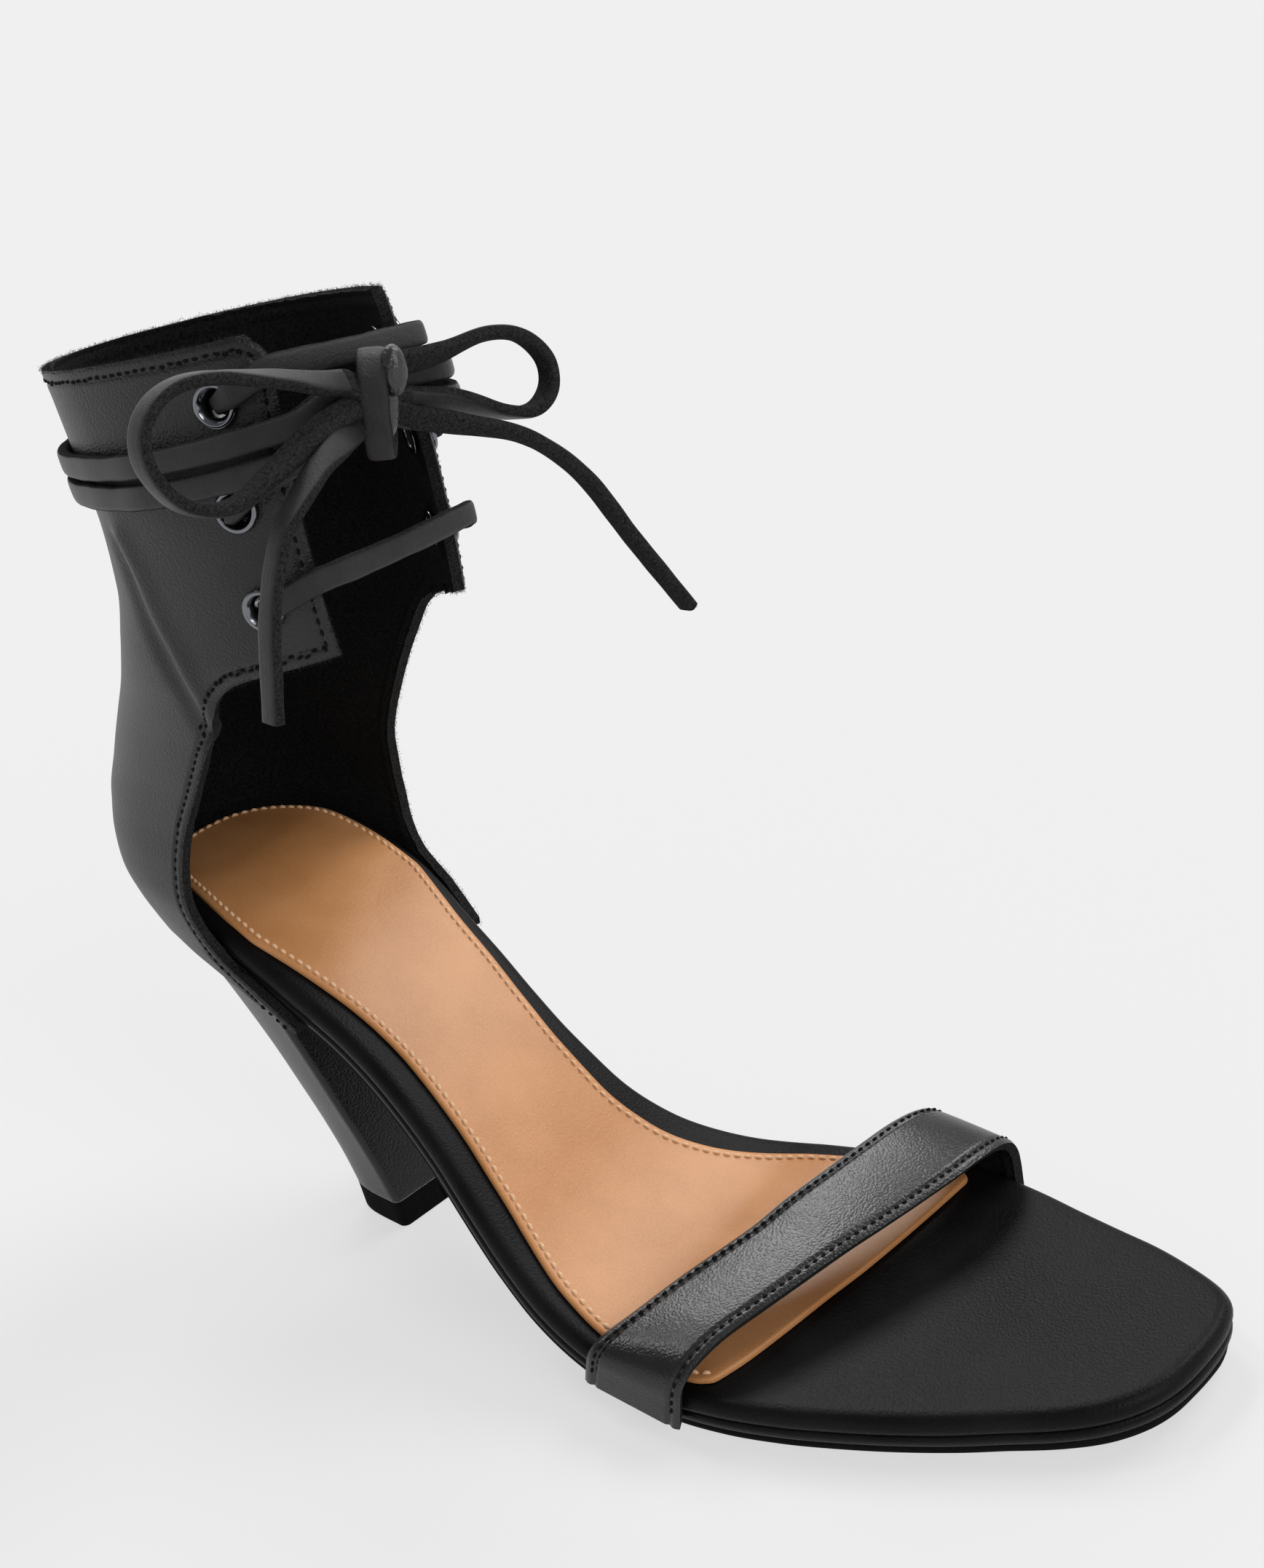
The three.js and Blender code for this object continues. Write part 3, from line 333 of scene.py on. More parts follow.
def spline(points, steps, closed=False):
    """A smooth curve through the points, with the same number of steps between each two"""
    p = np.asarray(points, float)
    if closed:
        ring = np.vstack([p[-1:], p, p[:2]])
    else:
        ring = np.vstack([2 * p[:1] - p[1:2], p, 2 * p[-1:] - p[-2:-1]])
    out = []
    for i in range(1, len(ring) - 2):
        a, b, c, d = ring[i - 1:i + 3]
        t = (np.arange(steps) / steps)[:, None]
        out.append(0.5 * (2 * b + (c - a) * t + (2 * a - 5 * b + 4 * c - d) * t ** 2
                          + (3 * b - a - 3 * c + d) * t ** 3))
    if not closed:
        out.append(p[-1:])
    return np.vstack(out)


def unit(rows):
    return rows / np.linalg.norm(rows, axis=-1, keepdims=True)


def run_of(points):
    """Length along a line at each of its points"""
    return np.concatenate([[0], np.cumsum(np.linalg.norm(np.diff(points, axis=0), axis=1))])


def between(at, run, rows):
    """Rows read off at given lengths along a line"""
    return np.stack([np.interp(at, run, rows[:, k]) for k in range(rows.shape[1])], -1)


def resample(points, count=None, pitch=None):
    """Points at even spacing along a line"""
    p = np.asarray(points, float)
    run = run_of(p)
    if count is None:
        count = max(int(round(run[-1] / pitch)), 1) + 1
    return between(np.linspace(0, run[-1], count), run, p)


def many(name, corners, pattern, material, slot, soft=False):
    """One piece of many copies of a small form; corners holds one row of places for each copy"""
    size = corners.shape[1]
    faces = [tuple(i + k * size for i in face) for k in range(len(corners)) for face in pattern]
    mesh = bpy.data.meshes.new(name)
    mesh.from_pydata((corners.reshape(-1, 3) * MM).tolist(), [], faces)
    obj = bpy.data.objects.new(name, mesh)
    bpy.context.collection.objects.link(obj)
    if soft:
        active(obj)
        bpy.ops.object.shade_smooth()
    finish_piece(obj, material, slot)


# %% [markdown]
# ## Materials
# Full-grain calf is a smooth black leather: a fine pebble that is only a few tenths of a millimetre
# deep, and a satin finish that mirrors a soft light as a broad grey patch. Its flesh side, on the
# inside of the cuff, is a nap with no gloss at all. Colours are written as a screen shows them and
# turned to light values by one function, and one small function adds a node.

# %% Materials
def light(hexcode):
    """A screen colour such as 2b2b2d as linear light"""
    parts = [int(hexcode[i:i + 2], 16) / 255 for i in (0, 2, 4)]
    return tuple(c / 12.92 if c <= 0.04045 else ((c + 0.055) / 1.055) ** 2.4 for c in parts) + (1,)


def node(material, kind, values=None, links=None, **settings):
    """Adds a node; values and links are named by socket, and a link is (node, socket)"""
    tree = material.node_tree
    new = tree.nodes.new(kind)
    for key, value in settings.items():
        setattr(new, key, value)
    for key, value in (values or {}).items():
        new.inputs[key].default_value = value
    for key, (source, socket) in (links or {}).items():
        tree.links.new(source.outputs[socket], new.inputs[key])
    return new


def new_material(name, **sockets):
    material = bpy.data.materials.new(name)
    material.use_nodes = True
    shader = material.node_tree.nodes["Principled BSDF"]
    for key, value in sockets.items():
        shader.inputs[key.replace("_", " ")].default_value = value
    return material, shader


def plug(material, source, socket, shader, target):
    material.node_tree.links.new(source.outputs[socket], shader.inputs[target])


def tones(material, source, socket, *stops):
    """Screen colours along a factor; a stop is a position and its colour"""
    new = node(material, "ShaderNodeValToRGB", links={"Fac": (source, socket)})
    elements = new.color_ramp.elements
    for i, (position, tone) in enumerate(stops):
        element = elements[i] if i < 2 else elements.new(position)
        element.position, element.color = position, light(tone)
    return new


def drive(material, shader, target, source, socket, low, high):
    """Moves a value of the shader between two ends"""
    spread = node(material, "ShaderNodeMapRange", {"To Min": low, "To Max": high},
                  {"Value": (source, socket)})
    plug(material, spread, "Result", shader, target)


def relief(material, shader, source, socket, strength, depth, **settings):
    """Bumps of a depth in millimetres"""
    bump = node(material, "ShaderNodeBump", {"Strength": strength, "Distance": depth * MM},
                {"Height": (source, socket)}, **settings)
    plug(material, bump, "Normal", shader, "Normal")


def noise(material, place, width, detail, roughness=0.5):
    """Soft patches of a width in millimetres"""
    return node(material, "ShaderNodeTexNoise",
                {"Scale": 1000 / width, "Detail": detail, "Roughness": roughness},
                {"Vector": (place, "Object")})


CLOUD = 22


def grained_leather(name, dark, pale, roughness, grain_mm, depth, gloss, coat=0.0):
    """Smooth leather with a pebble of a given width and depth"""
    material, shader = new_material(name, Specular_IOR_Level=gloss, Coat_Weight=coat, Coat_Roughness=0.3)
    place = node(material, "ShaderNodeTexCoord")
    pebble = node(material, "ShaderNodeTexVoronoi", {"Scale": 1000 / grain_mm, "Randomness": 0.9},
                  {"Vector": (place, "Object")}, feature="SMOOTH_F1")
    pores = noise(material, place, grain_mm * 0.5, 3.0)
    cloud = noise(material, place, CLOUD, 4.0)
    height = node(material, "ShaderNodeMath", {1: 0.35}, {0: (pores, "Fac"), 2: (pebble, "Distance")},
                  operation="MULTIPLY_ADD")
    relief(material, shader, height, "Value", 0.9, depth, invert=True)
    mottle = node(material, "ShaderNodeMath", {1: 0.6}, {0: (pores, "Fac"), 2: (cloud, "Fac")},
                  operation="MULTIPLY_ADD")
    tone = tones(material, mottle, "Value", (0.62, dark), (0.98, pale))
    plug(material, tone, "Color", shader, "Base Color")
    drive(material, shader, "Roughness", cloud, "Fac", roughness - 0.06, roughness + 0.06)
    return material


def napped_leather(name, dark, pale, nap_mm, depth):
    """Suede: short fibres with no gloss, a little lighter where they lie over"""
    material, shader = new_material(name, Roughness=0.95, Specular_IOR_Level=0.06)
    place = node(material, "ShaderNodeTexCoord")
    nap = noise(material, place, nap_mm, 6.0, 0.7)
    relief(material, shader, nap, "Fac", 0.8, depth)
    tone = tones(material, nap, "Fac", (0.38, dark), (0.66, pale))
    plug(material, tone, "Color", shader, "Base Color")
    return material


black_calf = grained_leather("black_calf", "070708", "1e1e1f", 0.41, 0.45, 0.16, 0.38)
strap_calf = grained_leather("strap_calf", "060607", "151516", 0.31, 0.45, 0.08, 0.52)
bed_calf = grained_leather("bed_calf", "060607", "151516", 0.42, 0.45, 0.08, 0.1)
heel_calf = grained_leather("heel_calf", "070708", "151516", 0.36, 0.45, 0.1, 0.42)
tan_calf = grained_leather("tan_calf", "b27845", "c68d5c", 0.38, 0.6, 0.04, 0.36, coat=0.05)
flesh_side = napped_leather("flesh_side", "0b0b0b", "242424", 0.5, 0.25)
raw_edge = napped_leather("raw_edge", "0e0e0e", "3a3a3a", 0.35, 0.4)
thong_grain = grained_leather("thong_grain", "0a0a0b", "222223", 0.33, 0.7, 0.2, 0.7)
sole_rubber = napped_leather("sole_rubber", "0d0d0e", "161617", 0.6, 0.08)
print("materials:", len(bpy.data.materials))

# %% [markdown]
# ## The leather back: heel counter, open instep and ankle cuff in one piece
# Each row of the grid is one section of the last, from the front edge of the outer flap round the
# heel to the front edge of the inner flap. The rows lie closer where an edge runs level, and the
# columns lie closer towards the front edges, so that edges and stitch channels come out clean.

# %% Form of the upper
MIDDLE_SHARE = 0.45     # where a section is widest, from its back to its front
TUCK = 0.4              # how far above the seat's underside the leather starts
ROW_STEPS = 600
EDGE_PITCH = 0.3
CLOSER = 0.75           # how much closer the columns lie towards the front edges


def section(high, share, depth=0.0):
    """u and v at a share of the way from the back (0) through the side (0.5) to the front (1)"""
    back = -upper_back(high) * CUFF_DEPTH + depth
    front = upper_front(high) * CUFF_DEPTH - depth
    half = upper_half(high) * CUFF_HALF - depth
    full = upper_full(high)
    middle = back + (front - back) * MIDDLE_SHARE
    behind, beside = round_back(middle - back, half, full, np.clip(share * 2, 0, 1))
    angle = (share - 0.5) * math.pi
    u = np.where(share <= 0.5, middle + behind, middle + (front - middle) * np.sin(angle))
    v = np.where(share <= 0.5, beside, half * np.cos(angle))
    return u, v


def share_of(high, u):
    """Share of the way round at which a section reaches u"""
    shares = np.linspace(0, 1, 801)
    return np.interp(u, section(high, shares)[0], shares)


# Height of the seat's underside along the middle line, worked out once
seat_u = np.linspace(-80, 80, 321)
seat_x = from_heel(seat_u, 0)[0]
seat_line = height_under(seat_x, bed_thick(seat_x)) + TUCK
front_reach = float(upper_front(1.0)) * CUFF_DEPTH


def upper_height(high, u):
    first = UPPER[0, 0]
    low = (COUNTER_TOP / CUFF_TOP - high) / (COUNTER_TOP / CUFF_TOP - first)
    seat = np.interp(u, seat_u, seat_line) - first * CUFF_TOP
    top = (high - THROAT / CUFF_TOP) / (1 - THROAT / CUFF_TOP)
    along = np.clip((front_reach - u) / CUFF_DEPTH, 0, 1)
    return high * CUFF_TOP + seat * np.clip(low, 0, 1) - CUFF_DIP * along * np.clip(top, 0, 1)


def on_upper(high, share, depth, side):
    u, v = section(high, share, depth)
    x, y = from_heel(u, side * v)
    return np.stack([x, y, upper_height(high, u)], -1)


def upper_seat(high, share, side, off=0.0):
    """Place beside the leather and the direction straight out of it"""
    at = on_upper(high, share, -off, side)
    along = on_upper(high, share + 0.004, -off, side) - at
    up = on_upper(high + 0.004, share, -off, side) - at
    out = np.cross(along, up) * -side
    return at, unit(out)


open_line = spline(OPEN[1:, ::-1] * (CUFF_DEPTH, CUFF_TOP), 12)


def front_edge(z, edge):
    """u of the front edge at a height: open instep, flap, and the flap's round upper corner"""
    top = upper_height(1.0, edge)
    line = np.vstack([[OPEN[0, 1] * CUFF_DEPTH, OPEN[0, 0] * CUFF_TOP], open_line,
                      [edge, FLAP_CORNER * CUFF_TOP], [edge, top - FLAP_ROUND]])
    u = np.interp(z, line[:, 1], line[:, 0])
    over = np.clip(z - (top - FLAP_ROUND), 0, FLAP_ROUND)
    return u - FLAP_ROUND + math.sqrt(FLAP_ROUND ** 2 - over ** 2)


def front_share(high, side):
    edge = FLAP_EDGE[side] * CUFF_DEPTH
    low, far = -14.0, edge + 0.5
    for _ in range(36):
        middle = (low + far) / 2
        if middle < front_edge(float(upper_height(high, middle)), edge):
            low = middle
        else:
            far = middle
    return float(share_of(high, low))


# from and to as shares of the height, and the millimetres between rows
bands = [(0.342, 0.665, 1.05), (0.665, 0.735, 0.26), (0.735, 0.955, 1.0), (0.955, 0.994, 0.32),
         (0.994, 1.0, 0.13)]
row_highs = np.concatenate([np.linspace(a, b, max(int((b - a) * CUFF_TOP / step), 1), endpoint=False)
                            for a, b, step in bands] + [[1.0]])
row_lines = {}
for side in (-1, 1):
    lines = []
    for high in row_highs:
        shares = np.linspace(0, front_share(high, side), 500)
        lines.append(resample(on_upper(high, shares, 0.0, side), count=ROW_STEPS + 1))
    row_lines[side] = np.array(lines)
print("rows of the upper:", len(row_highs), "outer flap reaches, mm:", row_lines[-1][150, -1].round(1))


def place_upper(s, t):
    row = np.round(t * (len(row_highs) - 1)).astype(int)
    across = np.abs(2 * s - 1)
    across = across + CLOSER * np.sin(np.pi * across) / np.pi
    column = np.clip(across * ROW_STEPS, 0, ROW_STEPS)
    low = np.minimum(column.astype(int), ROW_STEPS - 1)
    part = (column - low)[:, None]
    outer, inner = (row_lines[side][row, low] * (1 - part) + row_lines[side][row, low + 1] * part
                    for side in (-1, 1))
    return np.where((s < 0.5)[:, None], outer, inner)


upper = lay("upper_leather", 240, len(row_highs) - 1, place_upper)
edge_line = np.vstack([row_lines[-1][:, -1], row_lines[-1][-1][::-1], row_lines[1][-1][1:],
                       row_lines[1][:, -1][::-1]])
edge_line = resample(edge_line, pitch=EDGE_PITCH)
print("length of the sewn edge, mm:", round(EDGE_PITCH * len(edge_line)))

# %% [markdown]
# The edge is sewn a little over two millimetres in. The thread pulls the leather down into a shallow
# channel, and the ankle has one soft diagonal crease where the counter ends and the cuff can bend.

# %% Channel and crease
STITCH_IN = 2.3
CHANNEL_DEEP = 0.36
EDGE_ROUNDED = 0.35
CREASE_WIDE, CREASE_DEEP = 2.6, 1.0
RIDGE_WIDE, RIDGE_HIGH = 3.2, 0.85
WAVE_HIGH = 0.16


def nearest(points, line):
    tree = KDTree(len(line))
    for i, p in enumerate(line):
        tree.insert(p, i)
    tree.balance()
    return np.array([tree.find(p)[2] for p in points])


def skin_of(obj):
    """The outer skin as a tree, so that threads can be laid on it"""
    return BVHTree.FromPolygons([v.co / MM for v in obj.data.vertices],
                                [tuple(f.vertices) for f in obj.data.polygons])


def thicken(obj, thick, grain_material, node_name):
    """Gives a laid skin its thickness inwards, with a flesh side and raw edges"""
    for material in (grain_material, flesh_side, raw_edge):
        obj.data.materials.append(material)
    modify(obj, "SOLIDIFY", thickness=thick * MM, offset=-1, use_even_offset=True, use_rim=True,
           material_offset=1, material_offset_rim=2)
    smooth(obj, 45)
    finish_piece(obj, None, "black_leather", node_name)


def face_side(obj, outward):
    """Turns the faces over if they look away from the given outward direction"""
    if np.einsum("ij,ij->i", normals_of(obj), outward).mean() < 0:
        edit(obj, bpy.ops.mesh.flip_normals)


def channel(distance, centre, width, depth):
    return -depth * np.exp(-((distance - centre) / width) ** 2)


places = corners_of(upper) / MM
middle_line = np.stack([*from_heel(0 * places[:, 2], 0), 0 * places[:, 2]], -1)
face_side(upper, (places - middle_line) * (1, 1, 0))
from_edge = nearest(places, edge_line)
push = channel(from_edge, STITCH_IN, 0.5, CHANNEL_DEEP) + channel(from_edge, 0, 0.55, EDGE_ROUNDED)
# u, v and height of the crease on the outer side
CREASE = [(5.0, -28.0, 158.0), (7.3, -27.8, 153.0), (9.2, -27.8, 144.9), (11.8, -27.5, 137.4),
          (13.1, -26.6, 130.0), (13.7, -25.6, 124.6), (14.5, -24.9, 118.0)]
crease_line = resample(spline(heel_place(CREASE), 10), pitch=0.5)
from_crease = nearest(places, crease_line)
before = nearest(places, crease_line + (3.6, 0, 1.5))
push += channel(from_crease, 0, CREASE_WIDE, CREASE_DEEP) + channel(before, 0, RIDGE_WIDE, -RIDGE_HIGH)
wave = np.sin(places[:, 2] / 9.0 + places[:, 0] / 23.0) * np.sin(places[:, 0] / 17.0 - places[:, 2] / 31.0)
push += WAVE_HIGH * wave * np.clip(from_edge / 12, 0, 1)
move_corners(upper, (places + normals_of(upper) * push[:, None]) * MM)

# %% Eyelet places
eyelet_seats = {}
for row_name, high in zip(("lower", "middle", "upper"), EYELET_HIGH):
    for side_name, side in (("outer", -1), ("inner", 1)):
        u = FLAP_EDGE[side] * CUFF_DEPTH - EYELET_SETBACK
        eyelet_seats[row_name, side_name] = upper_seat(high, float(share_of(high, u)), side)

seat_places = [at for at, out in eyelet_seats.values()]
centres = read(upper.data.polygons, "center") / MM
near_eyelet = np.min([np.linalg.norm(centres - at, axis=1) for at in seat_places], axis=0) < EYELET_CUT
edit(upper, lambda: bpy.ops.mesh.select_mode(type="FACE"),
     lambda: bpy.ops.mesh.select_all(action="DESELECT"))
upper.data.polygons.foreach_set("select", near_eyelet)
bpy.ops.object.mode_set(mode="EDIT")
bpy.ops.mesh.delete(type="FACE")
bpy.ops.mesh.select_mode(type="VERT")
bpy.ops.object.mode_set(mode="OBJECT")

skin = skin_of(upper)
thicken(upper, WALL, black_calf, "upper")
print("faces cut for eyelets:", int(near_eyelet.sum()))

# %% [markdown]
# ## Stitches
# One stitch is a short thread with round ends. It is repeated along a line on the leather, and each
# one dips a little at its ends, where it goes through its needle hole.

# %% Stitch maker
UPPER_STITCH = dict(pitch=2.1, length=1.5, thick=0.66, lift=0.1)
STRAP_STITCH = dict(pitch=1.9, length=1.4, thick=0.62, lift=0.1)
SOCK_STITCH = dict(pitch=2.15, length=1.85, thick=0.75, lift=0.22)
deselect()
bpy.ops.mesh.primitive_uv_sphere_add(segments=8, ring_count=6, radius=1)
pattern = bpy.context.object
stitch_corners = corners_of(pattern)
stitch_faces = [tuple(f.vertices) for f in pattern.data.polygons]
bpy.data.objects.remove(pattern, do_unlink=True)
thread_black, _ = new_material("waxed_thread_black", Base_Color=light("040404"), Roughness=0.7,
                               Specular_IOR_Level=0.15)
thread_tan, _ = new_material("waxed_thread_tan", Base_Color=light("deb48c"), Roughness=0.6)


def stitches(name, line, outs, material, slot, pitch, length, thick, lift):
    """Threads along a line of places with their outward directions"""
    run = run_of(line)
    at = np.arange(pitch / 2, run[-1], pitch)
    centre = between(at, run, line)
    out = unit(between(at, run, outs))
    along = unit(between(at + pitch / 3, run, line) - between(at - pitch / 3, run, line))
    wide = np.cross(out, along)
    c = stitch_corners * (length / 2, thick / 2, thick / 2)
    dip = (c[:, 0] / (length / 2)) ** 2 * thick * 0.5
    corners = (centre[:, None] + along[:, None] * c[None, :, :1] + wide[:, None] * c[None, :, 1:2]
               + out[:, None] * (c[:, 2] - dip + lift)[None, :, None])
    many(name, corners, stitch_faces, material, slot, soft=True)


def on_skin(tree, places):
    """Nearest places on a skin, and the directions out of it"""
    found = [tree.find_nearest(Vector(p)) for p in places]
    return np.array([f[0] for f in found]), np.array([f[1] for f in found])


def inset_line(edge, tree, inset, flip=1):
    """A line on the leather at a distance inside an edge, and the directions out of the leather"""
    out = on_skin(tree, edge)[1]
    along = unit(np.gradient(edge, axis=0))
    moved = edge + np.cross(out, along) * flip * inset
    moved = moved[nearest(moved, edge) > inset * 0.93]
    return on_skin(tree, resample(moved, pitch=0.4))


def sewn_line(edge, tree, inset):
    """The inset line on the side of the edge where the leather is"""
    both = [inset_line(edge, tree, inset, flip) for flip in (1, -1)]
    return max(both, key=lambda found: nearest(found[0], edge).mean())


sewn, sewn_out = sewn_line(edge_line, skin, STITCH_IN)
stitches("upper_stitches", sewn, sewn_out, thread_black, "black_leather", **UPPER_STITCH)

# %% [markdown]
# Where leather is only cut, its fibres stand out of the edge. Each tuft here is a thin spike a few
# tenths of a millimetre long, and a seeded generator turns and places them, so that every run is
# the same.

# %% Fibres
SPIKE = np.array([(1, 0, 0), (-0.5, 0.87, 0), (-0.5, -0.87, 0), (0, 0, 1)])
SPIKE_FACES = [(0, 2, 1), (0, 1, 3), (1, 2, 3), (2, 0, 3)]


def fibres(name, places, outs, per_mm, longest, slot, seed, step):
    """Short spikes near places that lie a step apart, leaning about the outward directions"""
    rng = np.random.default_rng(seed)
    count = int(len(places) * step * per_mm)
    pick = rng.integers(0, len(places), count)
    lean = unit(outs[pick] + rng.normal(0, 0.55, (count, 3)))
    side = unit(np.cross(lean, rng.normal(0, 1, (count, 3))))
    other = np.cross(lean, side)
    long = longest * rng.uniform(0.25, 1.0, count) ** 1.6
    thick = rng.uniform(0.03, 0.07, count)
    root = places[pick] + rng.normal(0, 0.22, (count, 3))
    corners = (root[:, None] + side[:, None] * (SPIKE[None, :, :1] * thick[:, None, None])
               + other[:, None] * (SPIKE[None, :, 1:2] * thick[:, None, None])
               + lean[:, None] * ((SPIKE[None, :, 2:] - 0.25) * long[:, None, None]))
    many(name, corners, SPIKE_FACES, raw_edge, slot)


edge_out = on_skin(skin, edge_line)[1]
edge_away = unit(np.cross(np.gradient(edge_line, axis=0), edge_out))
to_sewn = [nearest(edge_line + edge_away * sign, sewn).mean() for sign in (1, -1)]
edge_away *= 1 if to_sewn[0] > to_sewn[1] else -1
wall_depths = (0.25, 0.9, 1.6)  # three lines down the cut edge
wall_places = np.vstack([edge_line - edge_out * depth for depth in wall_depths])
fibres("upper_edge_fibres", wall_places, np.vstack([edge_away] * len(wall_depths)), per_mm=8, longest=0.75,
       slot="black_leather", seed=3, step=EDGE_PITCH)

# %% [markdown]
# ## Eyelets
# Each is one rolled ring of dark nickel: a round flange on the leather, a barrel through it and a
# flatter flange inside. Its profile is turned round the barrel's middle line.

# %% Eyelets
dark_nickel, _ = new_material("dark_nickel", Metallic=1.0, Roughness=0.16, Base_Color=light("77797e"))
inside = -WALL - 0.65
ring_profile = spline([
    (EYELET_HOLE, inside + 0.2), (EYELET_HOLE, -0.5), (EYELET_HOLE + 0.25, 0.3), (2.7, 0.85),
    (3.1, 1.28), (3.5, 1.3), (3.82, 1.0), (EYELET_FLANGE, 0.6), (3.75, 0.32), (3.1, 0.3),
    (EYELET_BARREL, 0.2), (EYELET_BARREL, inside), (3.1, inside), (3.45, inside - 0.15),
    (3.4, inside - 0.5), (2.7, inside - 0.6), (EYELET_HOLE + 0.05, inside - 0.35)], 3, closed=True)
for (row_name, side_name), (at, out) in eyelet_seats.items():
    first = unit(np.cross(out, (0, 0, 1)))
    second = np.cross(out, first)

    def place_ring(s, t):
        i = np.round(t * len(ring_profile)).astype(int) % len(ring_profile)
        turn_at = (s % 1) * 2 * math.pi
        r, y = ring_profile[i, 0][:, None], ring_profile[i, 1][:, None]
        return at + (first * np.cos(turn_at)[:, None] + second * np.sin(turn_at)[:, None]) * r + out * y

    ring = lay(f"ring_{row_name}_{side_name}", 40, len(ring_profile), place_ring)
    edit(ring, weld, face_outwards)
    smooth(ring, 60)
    finish_piece(ring, dark_nickel, "eyelet", f"eyelet_{row_name}_{side_name}")

# %% [markdown]
# ## Sole: footbed, insock and outsole
# All three are cut to the same outline, which is walked round once from the middle of the back.
# Their tops follow the last's curve, and the footbed's edge is rolled like a covered board.

# %% Sole outline
def sole_outline():
    shares = np.linspace(0, 1, 60)
    u, v = round_back(HEEL_REACH, SEAT_HALF, 2.5, shares)
    outer = [np.stack(from_heel(u, -v), -1)]
    inner = [np.stack(from_heel(u, v), -1)]
    at = np.concatenate([np.linspace(0.236, 0.94, 120), np.linspace(0.942, 1, 50)])
    x = at * LENGTH - HEEL_REACH
    outer.append(np.stack([x, -outer_at(at) * BALL_WIDTH], -1))
    inner.append(np.stack([x, inner_at(at) * BALL_WIDTH], -1))
    return np.vstack(outer), np.vstack(inner)


def closed_outline(outer, inner, count=440, rounds=3):
    """One loop from the middle of the back along the outer side to the toe and home again"""
    halves = [resample(side, count=count // 2 + 1) for side in (outer, inner)]
    loop = np.vstack([halves[0], halves[1][::-1][1:-1]])
    for _ in range(rounds):
        loop = loop * 0.5 + (np.roll(loop, 1, axis=0) + np.roll(loop, -1, axis=0)) * 0.25
    return loop


def shrink(loop, distance):
    along = unit(np.roll(loop, -1, axis=0) - np.roll(loop, 1, axis=0))
    return loop + np.stack([-along[:, 1], along[:, 0]], -1) * distance


def plate(name, loop, profile, across=24):
    """A layer of the sole: rolled edge, top and underside, as one closed body"""
    n = len(loop)
    rings = []
    for inset, drop in profile:
        plan = shrink(loop, inset)
        deep = drop(plan[:, 0]) if callable(drop) else drop
        rings.append(np.column_stack([plan, np.broadcast_to(deep, n)]))
    rings = np.array(rings)

    def rim_place(s, t):
        row = np.round(t * (len(rings) - 1)).astype(int)
        r = rings[row, np.round(s * n).astype(int) % n]
        return on_sole(r[:, 0], r[:, 1], r[:, 2])

    def cap_place(ring):
        def place(s, t):
            i = np.round(t * (n // 2)).astype(int)
            a, b = ring[i], ring[(n - i) % n]
            r = a + (b - a) * s[:, None]
            return on_sole(r[:, 0], r[:, 1], r[:, 2])
        return place

    rim = lay(name + "_rim", n, len(rings) - 1, rim_place)
    top = lay(name + "_top", across, n // 2, cap_place(rings[0]))
    under = lay(name + "_under", across, n // 2, cap_place(rings[-1]))
    obj = joined(name, rim, top, under)
    edit(obj, weld, face_outwards)
    return obj


sole_loop = closed_outline(*sole_outline())
print("points of the outline:", len(sole_loop))

# %% Footbed
bed_profile = spline([(2.6, -0.02), (1.9, 0.05), (1.0, 0.35), (0.2, 1.3), (0, 2.4), (0.25, 3.4), (0.85, 3.95),
                      (1.15, 4.2), (0.8, 4.45), (0.55, 4.9)], 3)
bed_rows = [*bed_profile, (0.55, lambda x: bed_thick(x) * 0.76), (0.75, lambda x: bed_thick(x) * 0.88),
            (1.2, lambda x: bed_thick(x) * 0.97), (1.9, bed_thick)]
footbed = plate("wrapped_footbed", sole_loop, bed_rows)
smooth(footbed, 60)
finish_piece(footbed, bed_calf, "black_leather", "footbed")

# %% Outsole
start = BREAST_TOP + 8.6     # the outsole runs back to just ahead of the heel's breast
half = SEAT_HALF - OUTSOLE_INSET
out_lines = []
for side, line in zip((-1, 1), sole_outline()):
    back_edge = np.array([from_heel(start, side * v) for v in np.linspace(0, half, 20)])
    out_lines.append(np.vstack([back_edge, line[line[:, 0] > back_edge[-1, 0] + 2]]))
out_loop = closed_outline(*out_lines, rounds=2)
low = BED_THICK + SEAM
outsole = plate("rubber_outsole", out_loop, [
    (OUTSOLE_INSET + 0.3, low), (OUTSOLE_INSET, low + 0.3), (OUTSOLE_INSET, low + 1.0),
    (OUTSOLE_INSET + 0.2, low + OUTSOLE_THICK - 0.4), (OUTSOLE_INSET + 0.8, low + OUTSOLE_THICK)])
smooth(outsole, 50)
finish_piece(outsole, sole_rubber, "sole", "outsole")

# %% [markdown]
# The insock is thin tan leather, glued on the footbed and sewn along its sides and back. Its front
# edge is only cut, and runs in a bowed line behind the toes.

# %% Insock
# at, and the margin of the footbed that stays bare on the outer and the inner side
MARGIN = np.array([(0.00, 3.0, 3.0), (0.20, 4.2, 3.6), (0.35, 6.4, 4.8), (0.45, 6.2, 6.6),
                   (0.52, 4.6, 8.0), (0.60, 3.2, 6.4), (0.75, 3.0, 4.2)])
BACK_MARGIN = 3.0
SOCK_STITCH_IN = 1.5
outer_margin, inner_margin = follow(MARGIN, 1), follow(MARGIN, 2)
u, v = round_back(HEEL_REACH - BACK_MARGIN, SEAT_HALF - BACK_MARGIN, 2.4, np.linspace(0, 1, 50))
at = np.linspace(0.255, 0.651, 80)
ahead = at + 0.08 * np.clip((at - 0.3) / 0.35, 0, 1)
sock_outer = np.stack([at * LENGTH - HEEL_REACH, -outer_at(at) * BALL_WIDTH + outer_margin(at)], -1)
